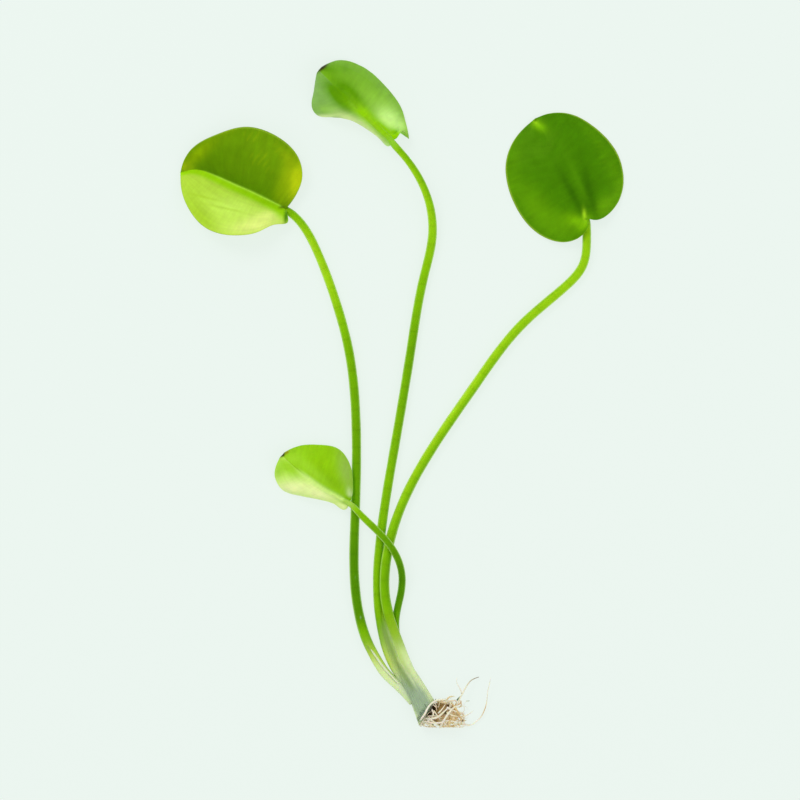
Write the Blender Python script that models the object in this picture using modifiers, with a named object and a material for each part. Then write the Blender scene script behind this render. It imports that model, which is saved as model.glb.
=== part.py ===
"""A water poppy plant, Hydrocleys nymphoides, lying flat on a surface as pulled from the water.

Four petioles with round floating leaves leave one short crown, which is broken off at a slant above a
tuft of roots. Units are metres with +Z up. Points and sizes below are written in millimetres: +X is to
the right, +Y runs from the roots to the leaves, and the plant rests on Z = 0 with the origin under the
middle of its box.
"""
import math

import bmesh
import bpy
import numpy as np
from mathutils import Matrix, Vector

MM = 0.001
GAP = 0.3
FIT_GAP = 0.4

# Petioles: route from the crown to the leaf, and thickness at the crown, the middle and the leaf
PETIOLE_STEP = 6.5
PETIOLES = {
    "left": {
        "thickness": (4.4, 4.3, 3.7),
        "route": [
            (6.0, -137.0, 4.2), (1.3, -134.4, 3.1), (-3.2, -130.9, 2.4), (-11.1, -119.9, 2.2),
            (-18.5, -103.7, 2.1), (-21.5, -82.1, 2.1), (-21.2, -55.1, 2.1), (-20.8, -11.9, 2.1),
            (-24.2, 20.5, 2.1), (-30.0, 42.1, 2.1), (-38.1, 63.7, 2.1), (-50.3, 81.5, 2.1),
        ],
    },
    "top": {
        "thickness": (4.3, 4.1, 3.9),
        "route": [
            (4.0, -131.5, 4.4), (-1.7, -125.3, 3.2), (-8.4, -109.1, 2.3), (-11.1, -84.8, 2.1),
            (-9.9, -65.9, 2.1), (-3.2, -22.7, 2.1), (4.0, 20.5, 2.1), (9.8, 52.9, 2.1),
            (13.6, 71.8, 3.3), (12.3, 86.3, 6.3), (5.6, 101.3, 10.6), (-3.3, 112.6, 12.8),
        ],
    },
    "right": {
        "thickness": (4.9, 4.3, 3.9),
        "route": [
            (7.8, -133.4, 5.4), (4.0, -126.2, 6.0), (-1.9, -111.8, 6.1), (-7.4, -92.9, 5.7),
            (-6.6, -71.3, 5.2), (-0.1, -49.7, 2.7), (11.2, -28.1, 2.2), (33.0, 4.3, 2.2),
            (53.9, 31.3, 2.1), (72.4, 47.5, 2.1), (81.4, 58.3, 2.1), (83.2, 69.1, 2.4),
            (82.9, 79.2, 3.4),
        ],
    },
    "small": {
        "thickness": (3.4, 3.3, 2.9),
        "route": [
            (5.2, -127.0, 2.6), (1.4, -119.0, 1.7), (-1.6, -109.0, 1.65), (-2.6, -100.9, 1.8),
            (-0.4, -88.4, 2.7), (-0.1, -81.6, 4.6), (-5.3, -68.2, 9.6), (-16.2, -55.0, 7.7),
            (-22.2, -49.95, 6.9),
        ],
    },
}

# Blades: upper face along the midrib and along each margin from the base to the tip, with the margin on
# the right of the midrib first, and how far each half arches up near the base, the middle and the tip
BLADE_ROWS = 22
BLADE_COLUMNS = 5
BLADE_THICKNESS = 0.7
MIDRIB_EASE = 1.5
MIDRIB_SAMPLES = 400
LEAVES = {
    "left": {
        "face_down": False,
        "midrib_depth": 2.4,
        "midrib": [
            (-52.3, 83.1, 3.1), (-67.1, 88.6, 2.5), (-78.8, 95.2, 1.8), (-89.2, 99.5, 1.4),
            (-99.8, 99.4, 2.1),
        ],
        "margins": [
            {
                "bulge": (1.6, 1.6, 1.2),
                "points": [
                    (-52.3, 83.1, 3.1), (-48.0, 88.9, 5.0), (-44.9, 97.2, 7.0), (-46.5, 106.0, 8.0),
                    (-57.3, 116.4, 8.0), (-70.2, 120.1, 7.2), (-83.0, 116.9, 5.6), (-95.4, 109.5, 3.6),
                    (-98.9, 103.2, 2.5), (-99.8, 99.4, 2.1),
                ],
            },
            {
                "bulge": (2.0, 2.6, 1.6),
                "points": [
                    (-52.3, 83.1, 3.1), (-51.7, 77.0, 5.2), (-56.4, 76.2, 8.2), (-64.0, 73.0, 12.6),
                    (-74.6, 71.1, 15.2), (-87.2, 73.9, 13.0), (-96.2, 83.6, 7.6), (-99.5, 93.0, 3.7),
                    (-99.8, 99.4, 2.1),
                ],
            },
        ],
    },
    "top": {
        "face_down": True,
        "midrib_depth": 2.6,
        "midrib": [
            (-4.6, 113.9, 11.4), (-13.0, 121.0, 13.8), (-23.3, 129.8, 15.0), (-31.5, 139.0, 13.2),
            (-37.5, 145.6, 8.6),
        ],
        "margins": [
            {
                "bulge": (2.0, 2.4, 2.0),
                "points": [
                    (-4.6, 113.9, 11.4), (-1.6, 116.6, 10.6), (2.6, 115.2, 5.2), (1.2, 123.5, 1.4),
                    (-3.9, 133.7, 0.3), (-13.0, 143.6, 0.6), (-27.9, 149.9, 3.5), (-37.5, 145.6, 8.6),
                ],
            },
            {
                "bulge": (1.4, 3.0, 1.6),
                "points": [
                    (-4.6, 113.9, 11.4), (-6.2, 111.6, 8.6), (-9.6, 115.2, 5.0), (-17.0, 122.4, 1.2),
                    (-27.4, 126.8, 0.2), (-37.2, 125.8, 0.4), (-39.9, 129.4, 1.2), (-39.4, 135.5, 3.4),
                    (-38.5, 142.0, 6.6), (-37.5, 145.6, 8.6),
                ],
            },
        ],
    },
    "right": {
        "face_down": False,
        "midrib_depth": 1.9,
        "midrib": [
            (82.6, 81.6, 6.4), (77.5, 91.3, 7.0), (70.4, 104.5, 6.2), (64.2, 116.2, 3.6), (59.8, 124.0, 1.6),
        ],
        "margins": [
            {
                "bulge": (1.0, 1.4, 1.0),
                "points": [
                    (82.6, 81.6, 6.4), (85.4, 78.5, 6.4), (93.2, 81.2, 3.4), (99.2, 92.0, 1.2),
                    (97.8, 106.9, 0.8), (88.2, 120.0, 0.8), (73.6, 127.0, 0.9), (66.3, 126.9, 1.1),
                    (59.8, 124.0, 1.6),
                ],
            },
            {
                "bulge": (1.0, 1.4, 1.0),
                "points": [
                    (82.6, 81.6, 6.4), (81.1, 72.8, 6.9), (73.9, 68.3, 5.0), (61.6, 71.8, 1.8),
                    (49.0, 89.0, 0.8), (46.5, 103.0, 0.8), (51.2, 116.7, 0.9), (59.8, 124.0, 1.6),
                ],
            },
        ],
    },
    "small": {
        "face_down": True,
        "midrib_depth": 2.0,
        "midrib": [
            (-23.9, -48.8, 6.0), (-33.0, -41.5, 9.2), (-43.0, -33.8, 9.4), (-53.2, -28.0, 5.2),
        ],
        "margins": [
            {
                "bulge": (1.4, 1.8, 1.4),
                "points": [
                    (-23.9, -48.8, 6.0), (-23.0, -45.3, 5.8), (-22.6, -36.6, 5.4), (-27.7, -25.3, 4.6),
                    (-38.6, -22.7, 4.0), (-49.5, -24.7, 4.2), (-53.2, -28.0, 5.2),
                ],
            },
            {
                "bulge": (1.6, 2.6, 1.8),
                "points": [
                    (-23.9, -48.8, 6.0), (-25.8, -51.6, 4.4), (-30.6, -48.8, 1.6), (-40.0, -45.4, 0.3),
                    (-54.2, -42.4, 0.3), (-57.2, -36.6, 1.8), (-56.0, -31.0, 4.0), (-53.2, -28.0, 5.2),
                ],
            },
        ],
    },
}

# Crown: axis from the petioles to the break, with its radii, and the slanted break itself
CROWN_AXIS = [
    (0.6, -121.6, 4.4), (2.2, -125.3, 4.7), (6.6, -133.4, 4.9), (11.3, -143.0, 5.2), (15.5, -152.0, 5.4),
]
CROWN_RADII = [2.2, 4.0, 4.6, 5.7, 6.2]
CROWN_SPACING = 2.0
BREAK_POINT = (11.3, -143.0, 5.0)
BREAK_NORMAL = (0.84, -0.54, 0.0)
BREAK_DEPTH = 40.0

# Sheath: the membrane in the groove between the top and right petioles
SHEATH_ROUTE = [
    (1.6, -127.5, 6.2), (-1.8, -121.5, 5.5), (-3.5, -116.1, 4.6), (-5.8, -108.2, 4.1), (-8.3, -100.1, 4.1),
]
SHEATH_THICKNESS = (0.9, 1.0, 0.4)
SHEATH_POINTS = 10

# Roots: the root stock, and the main roots that leave it
ROOT_STOCK_CENTRE = (18.6, -143.8, 4.2)
ROOT_STOCK_SIZE = (13.0, 10.5, 7.6)
KNOBS = 10.0
KNOB_HEIGHT = 0.1
ROOT_THICKNESS = 0.9
ROOT_TIP = 0.35
ROOT_POINTS = 9
ROOTS = [
    [(17.0, -141.0, 5.0), (21.5, -138.0, 6.5), (27.0, -135.8, 5.0), (29.5, -130.5, 3.0), (35.7, -126.3, 1.0)],
    [(19.0, -142.5, 4.0), (25.5, -138.5, 4.0), (27.2, -133.0, 5.5), (25.3, -126.8, 7.0)],
    [
        (20.0, -146.0, 4.0), (28.0, -147.5, 2.5), (35.0, -146.5, 1.5), (38.4, -140.7, 1.2),
        (39.0, -133.7, 2.5), (40.2, -127.2, 4.0),
    ],
    [(18.0, -147.0, 2.5), (24.0, -148.6, 1.2), (31.6, -148.3, 0.6)],
    [(17.5, -142.5, 5.0), (20.7, -136.3, 8.0), (24.5, -134.8, 7.0)],
    [(20.0, -144.0, 5.0), (27.0, -144.0, 4.5), (31.5, -142.0, 2.0)],
    [(14.5, -141.5, 4.0), (10.0, -147.6, 2.0), (8.0, -149.2, 0.8)],
    [(19.0, -145.0, 6.0), (24.0, -146.0, 8.0), (27.0, -149.0, 5.0), (24.0, -150.0, 1.5)],
    [(17.0, -145.0, 6.5), (14.5, -149.0, 6.0), (18.5, -150.0, 2.0)],
    [(20.0, -141.0, 3.0), (24.0, -140.2, 1.8), (29.0, -140.4, 1.0)],
    [(18.0, -143.0, 5.0), (21.5, -141.5, 8.5), (26.5, -142.0, 7.0), (29.5, -145.0, 3.5)],
    [(16.5, -143.0, 5.0), (16.0, -146.5, 8.0), (11.8, -149.0, 4.0)],
    [(19.0, -142.0, 3.5), (22.5, -137.6, 2.2), (22.8, -134.6, 1.2)],
]


def clear_scene():
    """Removes every object of the open scene."""
    for ob in list(bpy.data.objects):
        bpy.data.objects.remove(ob, do_unlink=True)


def new_collection(name):
    """A collection of the scene with the given name."""
    collection = bpy.data.collections.new(name)
    bpy.context.scene.collection.children.link(collection)
    return collection


def plain_material(name, colour, roughness, subsurface=0.0):
    """A Principled material of one colour."""
    material = bpy.data.materials.new(name)
    material.use_nodes = True
    shader = material.node_tree.nodes["Principled BSDF"]
    shader.inputs["Base Color"].default_value = (*colour, 1.0)
    shader.inputs["Roughness"].default_value = roughness
    shader.inputs["Metallic"].default_value = 0.0
    shader.inputs["Subsurface Weight"].default_value = subsurface
    return material


def smooth_curve(points, count):
    """Evenly spaced points on the natural cubic spline through the given ones."""
    points = np.array(points, float)
    chords = np.linalg.norm(np.diff(points, axis=0), axis=1)
    knots = np.concatenate(([0.0], np.cumsum(chords)))
    system = np.eye(len(points))
    change = np.zeros_like(points)
    for i in range(1, len(points) - 1):
        before, after = chords[i - 1], chords[i]
        system[i, i - 1:i + 2] = before, 2.0 * (before + after), after
        change[i] = 6.0 * ((points[i + 1] - points[i]) / after - (points[i] - points[i - 1]) / before)
    bend = np.linalg.solve(system, change)
    where = np.linspace(0.0, knots[-1], count)
    i = np.clip(np.searchsorted(knots, where, side="right") - 1, 0, len(chords) - 1)
    span = chords[i][:, None]
    near = (knots[i + 1] - where)[:, None] / span
    far = 1.0 - near
    straight = near * points[i] + far * points[i + 1]
    return straight + ((near**3 - near) * bend[i] + (far**3 - far) * bend[i + 1]) * span**2 / 6.0


def curve_length(points):
    """Length of the chain of straight lines through the points."""
    return float(np.linalg.norm(np.diff(np.array(points, float), axis=0), axis=1).sum())


def spread(values, count):
    """The given values as equal steps along a line, read at evenly spaced places."""
    return np.interp(np.linspace(0.0, 1.0, count), np.linspace(0.0, 1.0, len(values)), values)


def object_from_mesh(name, mesh, collection, material):
    """An object of the mesh with one material, shaded smooth."""
    mesh.name = name
    mesh.materials.clear()
    mesh.materials.append(material)
    mesh.shade_smooth()
    ob = bpy.data.objects.new(name, mesh)
    collection.objects.link(ob)
    return ob


def tube(name, points, radii, sides_level, collection, material):
    """A round tube of varying radius along the points, as a welded mesh."""
    data = bpy.data.curves.new(name + "_route", "CURVE")
    data.dimensions = "3D"
    data.bevel_depth = MM
    data.bevel_resolution = sides_level
    data.use_fill_caps = True
    spline = data.splines.new("POLY")
    spline.points.add(len(points) - 1)
    for place, point, radius in zip(spline.points, points, radii):
        place.co = (*(np.array(point) * MM), 1.0)
        place.radius = radius
    route = bpy.data.objects.new(name + "_route", data)
    collection.objects.link(route)
    bpy.context.view_layer.update()
    mesh = bpy.data.meshes.new_from_object(route.evaluated_get(bpy.context.evaluated_depsgraph_get()))
    bpy.data.objects.remove(route, do_unlink=True)
    weld(mesh)
    return object_from_mesh(name, mesh, collection, material)


def weld(mesh):
    """Joins the vertices that lie on one another and turns every face outwards."""
    shape = bmesh.new()
    shape.from_mesh(mesh)
    bmesh.ops.remove_doubles(shape, verts=shape.verts, dist=0.00001)
    bmesh.ops.recalc_face_normals(shape, faces=shape.faces)
    shape.to_mesh(mesh)
    shape.free()


def bake(ob):
    """Puts the object's modifiers into its mesh."""
    bpy.context.view_layer.update()
    mesh = bpy.data.meshes.new_from_object(ob.evaluated_get(bpy.context.evaluated_depsgraph_get()))
    ob.modifiers.clear()
    ob.data = mesh
    mesh.name = ob.name


def press_to_floor(ob):
    """Flattens what would reach below the surface that the plant lies on."""
    for vertex in ob.data.vertices:
        vertex.co.z = max(vertex.co.z, 0.0)


def combine(ob, other, operation):
    """Applies a Boolean of the other object to this one."""
    modifier = ob.modifiers.new(operation.title(), "BOOLEAN")
    modifier.operation = operation
    modifier.solver = "EXACT"
    modifier.object = other
    bake(ob)


def blade_half(midrib, margin, bulge, side):
    """Grid of points between the midrib and one margin, arched by the bulge, row by row to the tip."""
    count = BLADE_ROWS + 1
    steps = np.linspace(0.0, 1.0, count)
    fine = smooth_curve(midrib, MIDRIB_SAMPLES + 1)
    centre = np.array([fine[round(MIDRIB_SAMPLES * step**MIDRIB_EASE)] for step in steps])
    edge = smooth_curve(margin, count)
    along = np.gradient(centre, axis=0)
    arches = spread(bulge, count) * np.sin(math.pi * steps) ** 0.5
    rows = []
    for start, end, forward, arch in zip(centre, edge, along, arches):
        outward = end - start
        across = np.cross(outward, forward) * side
        across /= max(np.linalg.norm(across), 1e-9)
        row = []
        for column in range(BLADE_COLUMNS + 1):
            part = column / BLADE_COLUMNS
            row.append(start + outward * part + across * arch * math.sin(math.pi * part))
        rows.append(row)
    return rows


def blade(name, leaf, collection, material):
    """A leaf blade: a curved sheet given its thickness, with the midrib swollen on its lower side."""
    sheet = bmesh.new()
    weights = sheet.verts.layers.deform.verify()
    halves = []
    for side, margin in zip((1, -1), leaf["margins"]):
        halves.append(blade_half(leaf["midrib"], margin["points"], margin["bulge"], side))
    base = sheet.verts.new(Vector(halves[0][0][0]) * MM)
    tip = sheet.verts.new(Vector(halves[0][-1][0]) * MM)
    base[weights][0] = 1.0
    tip[weights][0] = 0.0
    middle = []
    for row in range(1, BLADE_ROWS):
        vertex = sheet.verts.new(Vector(halves[0][row][0]) * MM)
        vertex[weights][0] = 1.0 - row / BLADE_ROWS
        middle.append(vertex)
    for side, half in zip((1, -1), halves):
        lines = []
        for row in range(1, BLADE_ROWS):
            line = [middle[row - 1]]
            for column in range(1, BLADE_COLUMNS + 1):
                line.append(sheet.verts.new(Vector(half[row][column]) * MM))
            lines.append(line)
        for column in range(BLADE_COLUMNS):
            add_face(sheet, side, base, lines[0][column + 1], lines[0][column])
            add_face(sheet, side, tip, lines[-1][column], lines[-1][column + 1])
            for near, far in zip(lines, lines[1:]):
                add_face(sheet, side, near[column], near[column + 1], far[column + 1], far[column])
    if leaf["face_down"]:
        bmesh.ops.reverse_faces(sheet, faces=sheet.faces)
    mesh = bpy.data.meshes.new(name)
    sheet.to_mesh(mesh)
    sheet.free()
    ob = object_from_mesh(name, mesh, collection, material)
    ob.vertex_groups.new(name="midrib")
    thickness = BLADE_THICKNESS + leaf["midrib_depth"]
    solid = ob.modifiers.new("Thickness", "SOLIDIFY")
    solid.thickness = thickness * MM
    solid.offset = -1.0
    solid.vertex_group = "midrib"
    solid.thickness_vertex_group = BLADE_THICKNESS / thickness
    bake(ob)
    press_to_floor(ob)
    return ob


def add_face(sheet, side, *corners):
    """Adds a face, in the other order on the other half of the blade."""
    sheet.faces.new(corners if side > 0 else corners[::-1])


def grown_copy(ob, collection):
    """A cutter with the form of the object, pushed out by the gap that its neighbours keep."""
    cutter = bpy.data.objects.new("around_" + ob.name, ob.data.copy())
    normals = [vertex.normal.copy() for vertex in cutter.data.vertices]
    for vertex, normal in zip(cutter.data.vertices, normals):
        vertex.co += normal * FIT_GAP * MM
    collection.objects.link(cutter)
    hide_cutter(cutter)
    return cutter


def petiole(side, crown_cutter, collection, material):
    """A long round stalk, trimmed where it meets the crown."""
    route = PETIOLES[side]["route"]
    count = max(6, round(curve_length(route) / PETIOLE_STEP))
    radii = spread([width / 2.0 for width in PETIOLES[side]["thickness"]], count)
    ob = tube("petiole_" + side, smooth_curve(route, count), radii, 3, collection, material)
    combine(ob, crown_cutter, "DIFFERENCE")
    press_to_floor(ob)
    return ob


def sheath(crown_cutter, collection, material):
    """The membrane's rolled edge, trimmed where it meets the crown."""
    radii = spread([width / 2.0 for width in SHEATH_THICKNESS], SHEATH_POINTS)
    ob = tube("sheath", smooth_curve(SHEATH_ROUTE, SHEATH_POINTS), radii, 2, collection, material)
    combine(ob, crown_cutter, "DIFFERENCE")


def crown_stock(collection, cutters, material):
    """The crown, broken off at a slant at its lower end."""
    count = round(curve_length(CROWN_AXIS) / CROWN_SPACING)
    ob = tube("crown", smooth_curve(CROWN_AXIS, count), spread(CROWN_RADII, count), 4, collection, material)
    combine(ob, break_cutter("break", 0.0, cutters), "DIFFERENCE")
    press_to_floor(ob)
    return ob


def break_cutter(name, shift, collection):
    """A large box with one side on the slanted break, moved outwards from the crown by a shift."""
    normal = Vector(BREAK_NORMAL).normalized()
    mesh = bpy.data.meshes.new(name)
    shape = bmesh.new()
    bmesh.ops.create_cube(shape, size=BREAK_DEPTH * MM)
    shape.to_mesh(mesh)
    shape.free()
    box = bpy.data.objects.new(name, mesh)
    centre = Vector(BREAK_POINT) + normal * (BREAK_DEPTH / 2.0 + shift)
    turn = Vector((1.0, 0.0, 0.0)).rotation_difference(normal)
    box.matrix_world = Matrix.LocRotScale(centre * MM, turn, None)
    collection.objects.link(box)
    hide_cutter(box)
    return box


def hide_cutter(ob):
    """Marks an object as a cutter."""
    ob.hide_render = True
    ob.display_type = "WIRE"


def root_mass(collection, cutters, material):
    """The root stock with the main roots fused to it, clear of the crown's broken face."""
    bpy.ops.mesh.primitive_ico_sphere_add(subdivisions=2, radius=0.5)
    stock = bpy.context.active_object
    mesh = stock.data.copy()
    bpy.data.objects.remove(stock, do_unlink=True)
    for vertex in mesh.vertices:
        waves = math.sin(KNOBS * vertex.co.x + 2.0) * math.cos(KNOBS * vertex.co.y)
        knob = 1.0 + KNOB_HEIGHT * (waves + 0.6 * math.sin(KNOBS * vertex.co.z))
        vertex.co = (Vector(ROOT_STOCK_CENTRE) + knob * vertex.co * Vector(ROOT_STOCK_SIZE)) * MM
    ob = object_from_mesh("roots", mesh, collection, material)
    for number, route in enumerate(ROOTS):
        radii = spread([ROOT_THICKNESS / 2.0, ROOT_TIP / 2.0], ROOT_POINTS)
        root = tube("root_%d" % number, smooth_curve(route, ROOT_POINTS), radii, 1, cutters, material)
        hide_cutter(root)
        combine(ob, root, "UNION")
    combine(ob, break_cutter("root_side_of_break", GAP - BREAK_DEPTH, cutters), "DIFFERENCE")
    press_to_floor(ob)
    return ob


def build():
    """Builds the whole plant."""
    clear_scene()
    plant = new_collection("water_poppy")
    cutters = new_collection("cutters")
    leaf_green = plain_material("leaf_green", (0.10, 0.27, 0.01), 0.35, 0.1)
    young_green = plain_material("young_leaf_green", (0.36, 0.62, 0.05), 0.4, 0.1)
    stalk_green = plain_material("petiole_green", (0.16, 0.42, 0.01), 0.4, 0.1)
    crown_green = plain_material("crown_grey_green", (0.33, 0.42, 0.31), 0.5, 0.1)
    membrane = plain_material("sheath_membrane", (0.58, 0.70, 0.40), 0.45, 0.1)
    root_tan = plain_material("root_cream", (0.78, 0.66, 0.40), 0.6)

    around_crown = grown_copy(crown_stock(plant, cutters, crown_green), cutters)
    for side, leaf in LEAVES.items():
        petiole(side, around_crown, plant, stalk_green)
        blade("leaf_" + side, leaf, plant, young_green if side == "small" else leaf_green)

    sheath(around_crown, plant, membrane)
    root_mass(plant, cutters, root_tan)


build()
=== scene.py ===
"""The looks of a water poppy plant lying flat, seen from straight above.

Lengths and places are written in millimetres and turned into metres when a mesh is made. +X is to the
right, +Y runs from the roots to the leaves, and the plant lies on Z = 0.
"""
import math
import random

import bmesh
import bpy
import numpy as np
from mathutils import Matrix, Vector, noise


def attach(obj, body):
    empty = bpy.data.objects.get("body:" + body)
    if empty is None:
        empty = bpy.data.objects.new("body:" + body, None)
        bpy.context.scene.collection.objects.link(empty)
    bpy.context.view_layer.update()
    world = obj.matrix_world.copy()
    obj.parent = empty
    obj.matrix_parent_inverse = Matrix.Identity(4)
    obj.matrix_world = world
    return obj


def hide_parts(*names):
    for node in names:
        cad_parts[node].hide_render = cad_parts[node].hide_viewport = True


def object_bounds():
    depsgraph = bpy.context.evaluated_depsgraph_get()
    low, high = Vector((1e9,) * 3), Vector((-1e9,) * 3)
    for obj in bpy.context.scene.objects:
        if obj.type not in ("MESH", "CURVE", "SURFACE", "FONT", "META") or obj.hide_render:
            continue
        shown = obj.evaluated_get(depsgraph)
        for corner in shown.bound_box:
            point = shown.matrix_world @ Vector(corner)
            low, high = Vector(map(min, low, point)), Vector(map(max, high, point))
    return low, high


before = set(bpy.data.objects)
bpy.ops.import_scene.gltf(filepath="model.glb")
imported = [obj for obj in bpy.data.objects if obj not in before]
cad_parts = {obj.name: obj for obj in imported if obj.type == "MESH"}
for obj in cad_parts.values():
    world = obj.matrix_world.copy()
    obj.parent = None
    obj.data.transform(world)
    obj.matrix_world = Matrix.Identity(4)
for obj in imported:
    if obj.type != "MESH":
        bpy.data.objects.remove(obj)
cad_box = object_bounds()

MM = 0.001
BOX_LOW = np.array(cad_box[0]) / MM
BOX_HIGH = np.array(cad_box[1]) / MM

# Colours, as seen under the studio light
INK = {
    "floor": (235, 245, 239), "white": (255, 255, 255),
    # Upper face of the right leaf, with painted shade in its hollows and painted light by the notch and the
    # tip
    "leaf": (66, 127, 3), "leaf valley shade": (47, 103, 2), "leaf midrib": (76, 137, 6),
    "leaf edge": (82, 142, 4), "leaf light": (97, 158, 7), "leaf lime": (122, 186, 7),
    "leaf lit spot": (166, 220, 34),
    # Upper face of the left leaf: its moss half is painted in shade, and its lime and cream half is painted
    # lit
    "moss": (96, 141, 5), "moss dark": (86, 131, 2), "moss light": (103, 148, 6),
    "moss streak": (118, 164, 11), "olive": (130, 166, 3), "gold": (144, 174, 10), "yellow": (188, 208, 16),
    "vivid": (156, 216, 12), "lime": (180, 218, 66), "lime dark": (157, 197, 32),
    "lime light": (202, 239, 97), "cream": (229, 246, 132), "vein light": (178, 232, 66),
    # Underside of the top leaf: one half painted in shade, the other painted lit with a bright hem, and
    # grey and bluish painted sheen
    "under": (122, 180, 40), "under dark": (90, 152, 3), "under mid": (110, 170, 14),
    "under vivid": (146, 210, 4), "under grey sheen": (132, 182, 84), "under sheen": (146, 203, 64),
    "under pale": (206, 252, 136), "under lit hem": (234, 255, 168),
    # Underside of the small leaf: one half painted lit, a grey painted sheen on the right edge and painted
    # shade beside the midrib
    "young": (144, 201, 16), "young dark": (130, 185, 16), "young grey sheen": (148, 188, 76),
    "young light": (160, 215, 48), "young lime": (202, 242, 108), "young pale": (238, 254, 172),
    "young mist": (192, 218, 146), "vein pale": (216, 252, 138), "rim": (186, 214, 72),
    "brown": (44, 40, 10), "rust": (150, 84, 20),
    # Pale sides of the petioles: painted rim light
    "stalk rim light": (196, 234, 110),
    # Crown, petiole bases and roots
    "bundle green": (118, 177, 9), "core pale": (188, 214, 116), "flank lime": (191, 218, 87),
    "flank pale": (206, 222, 185), "crown grey": (155, 178, 144),
    "base green": (146, 188, 30), "base groove shade": (132, 160, 88), "base edge light": (222, 240, 176),
    "slit light": (230, 246, 204), "crown dark": (104, 132, 104), "bristle": (70, 92, 74),
    "root": (242, 234, 206), "root pale": (246, 240, 218), "root tan": (222, 196, 144),
    "root amber": (222, 182, 122), "root brown": (66, 46, 24), "root hollow shade": (158, 128, 76),
    "root plum": (120, 88, 72),
}
# Petioles, from the brightest green to the darkest, also used for painted shade across each petiole
STALK_GREENS = (
    (188, 234, 62), (158, 210, 22), (130, 190, 10), (107, 167, 6), (74, 136, 4),
)

# Petioles: each point of the route from the crown to the leaf with its radius. Fade is where the green
# turns into the crown's colours, as distances towards the roots. Shade gives, at plan heights y, how dark
# the green is in the middle (0 to 4) and how much darker it gets towards the right edge, which is painted
# shade
PETIOLES = {
    "left": {
        "fade": (-24.0, -13.0),
        "route": [
            (5.0, -138.6, 4.3, 2.0), (1.4, -134.4, 3.8, 2.1), (-3.7, -129.4, 3.1, 2.25),
            (-8.2, -124.7, 2.7, 2.3), (-11.1, -120.2, 2.5, 2.3), (-13.6, -115.7, 2.4, 2.25),
            (-16.0, -110.6, 2.3, 2.25), (-18.3, -103.7, 2.2, 2.2), (-21.5, -82.1, 2.15, 2.15),
            (-21.2, -55.1, 2.1, 2.1), (-20.8, -11.9, 2.1, 2.1), (-24.2, 20.5, 2.1, 2.05),
            (-30.0, 42.1, 2.1, 2.0), (-38.1, 63.7, 2.1, 1.9), (-50.3, 81.5, 2.1, 1.85),
        ],
        "shade": [
            (-112.0, 1.6, 0.1), (-106.0, 2.4, 0.1), (-101.0, 3.8, 0.1), (-74.0, 3.9, 0.1),
            (-48.0, 3.2, 0.2), (-16.0, 3.1, 0.3), (20.0, 2.6, 0.4), (51.0, 1.0, 0.4), (71.0, 1.1, 0.7),
            (80.0, 2.0, 0.4),
        ],
    },
    "top": {
        "fade": (-30.0, -16.0),
        "route": [
            (4.0, -131.5, 4.4, 2.15), (-1.7, -125.3, 3.2, 2.15), (-8.4, -109.1, 2.3, 2.12),
            (-11.1, -84.8, 2.1, 2.1), (-9.9, -65.9, 2.1, 2.08), (-3.2, -22.7, 2.1, 2.05),
            (4.0, 20.5, 2.1, 2.05), (9.8, 52.9, 2.1, 2.0), (13.6, 71.8, 3.3, 2.0), (12.0, 86.3, 6.3, 1.8),
            (5.9, 99.9, 10.2, 1.62), (0.6, 107.1, 11.8, 1.56), (-3.2, 111.4, 12.4, 1.6),
        ],
        "shade": [
            (-94.0, 2.1, 0.4), (-70.0, 2.1, 0.4), (-48.0, 2.2, 0.6), (-16.0, 2.6, 0.7), (-3.0, 2.7, 0.7),
            (20.0, 3.0, 0.5), (42.0, 2.3, 0.2), (74.0, 1.4, 0.15), (92.0, 1.6, 1.0), (105.0, 1.9, 1.0),
            (113.0, 1.9, 0.4),
        ],
    },
    "right": {
        "fade": (-28.0, -16.0),
        "route": [
            (7.8, -133.4, 5.4, 2.5), (4.0, -126.2, 6.0, 2.5), (-1.9, -111.8, 6.1, 2.4),
            (-7.4, -92.9, 5.7, 2.25), (-6.6, -71.3, 5.2, 2.2), (-0.1, -49.7, 2.7, 2.15),
            (11.2, -28.1, 2.2, 2.15), (33.0, 4.3, 2.2, 2.15), (53.9, 31.3, 2.15, 2.1),
            (72.4, 47.5, 2.1, 2.05), (81.4, 58.3, 2.1, 2.0), (83.0, 69.1, 2.4, 1.95),
            (82.7, 78.4, 3.2, 1.9),
        ],
        "shade": [
            (-94.0, 2.3, 0.5), (-86.0, 2.9, 0.7), (-70.0, 2.4, 0.9), (-48.0, 1.9, 1.1), (-3.0, 1.4, 1.3),
            (30.0, 1.5, 0.3), (42.0, 1.3, -0.4), (56.0, 1.4, 0.0), (69.0, 1.3, 0.4), (80.0, 1.4, 0.3),
        ],
    },
    "small": {
        "fade": (-12.0, -2.0),
        "route": [
            (4.6, -127.0, 2.6, 1.7), (0.8, -119.0, 1.7, 1.68), (-2.5, -109.0, 1.65, 1.65),
            (-2.8, -100.9, 1.8, 1.65), (-0.4, -88.4, 2.7, 1.65), (-0.1, -81.6, 4.6, 1.65),
            (-5.3, -68.2, 9.6, 1.6), (-16.4, -56.5, 7.9, 1.55), (-19.9, -52.9, 7.4, 1.45),
            (-22.6, -50.1, 6.9, 1.35),
        ],
        "shade": [
            (-104.0, 2.8, 0.2), (-94.0, 3.9, 0.1), (-80.0, 4.0, 0.0), (-64.0, 3.2, 0.2), (-54.0, 1.9, 0.3),
            (-50.0, 1.6, 0.3),
        ],
    },
}

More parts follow.
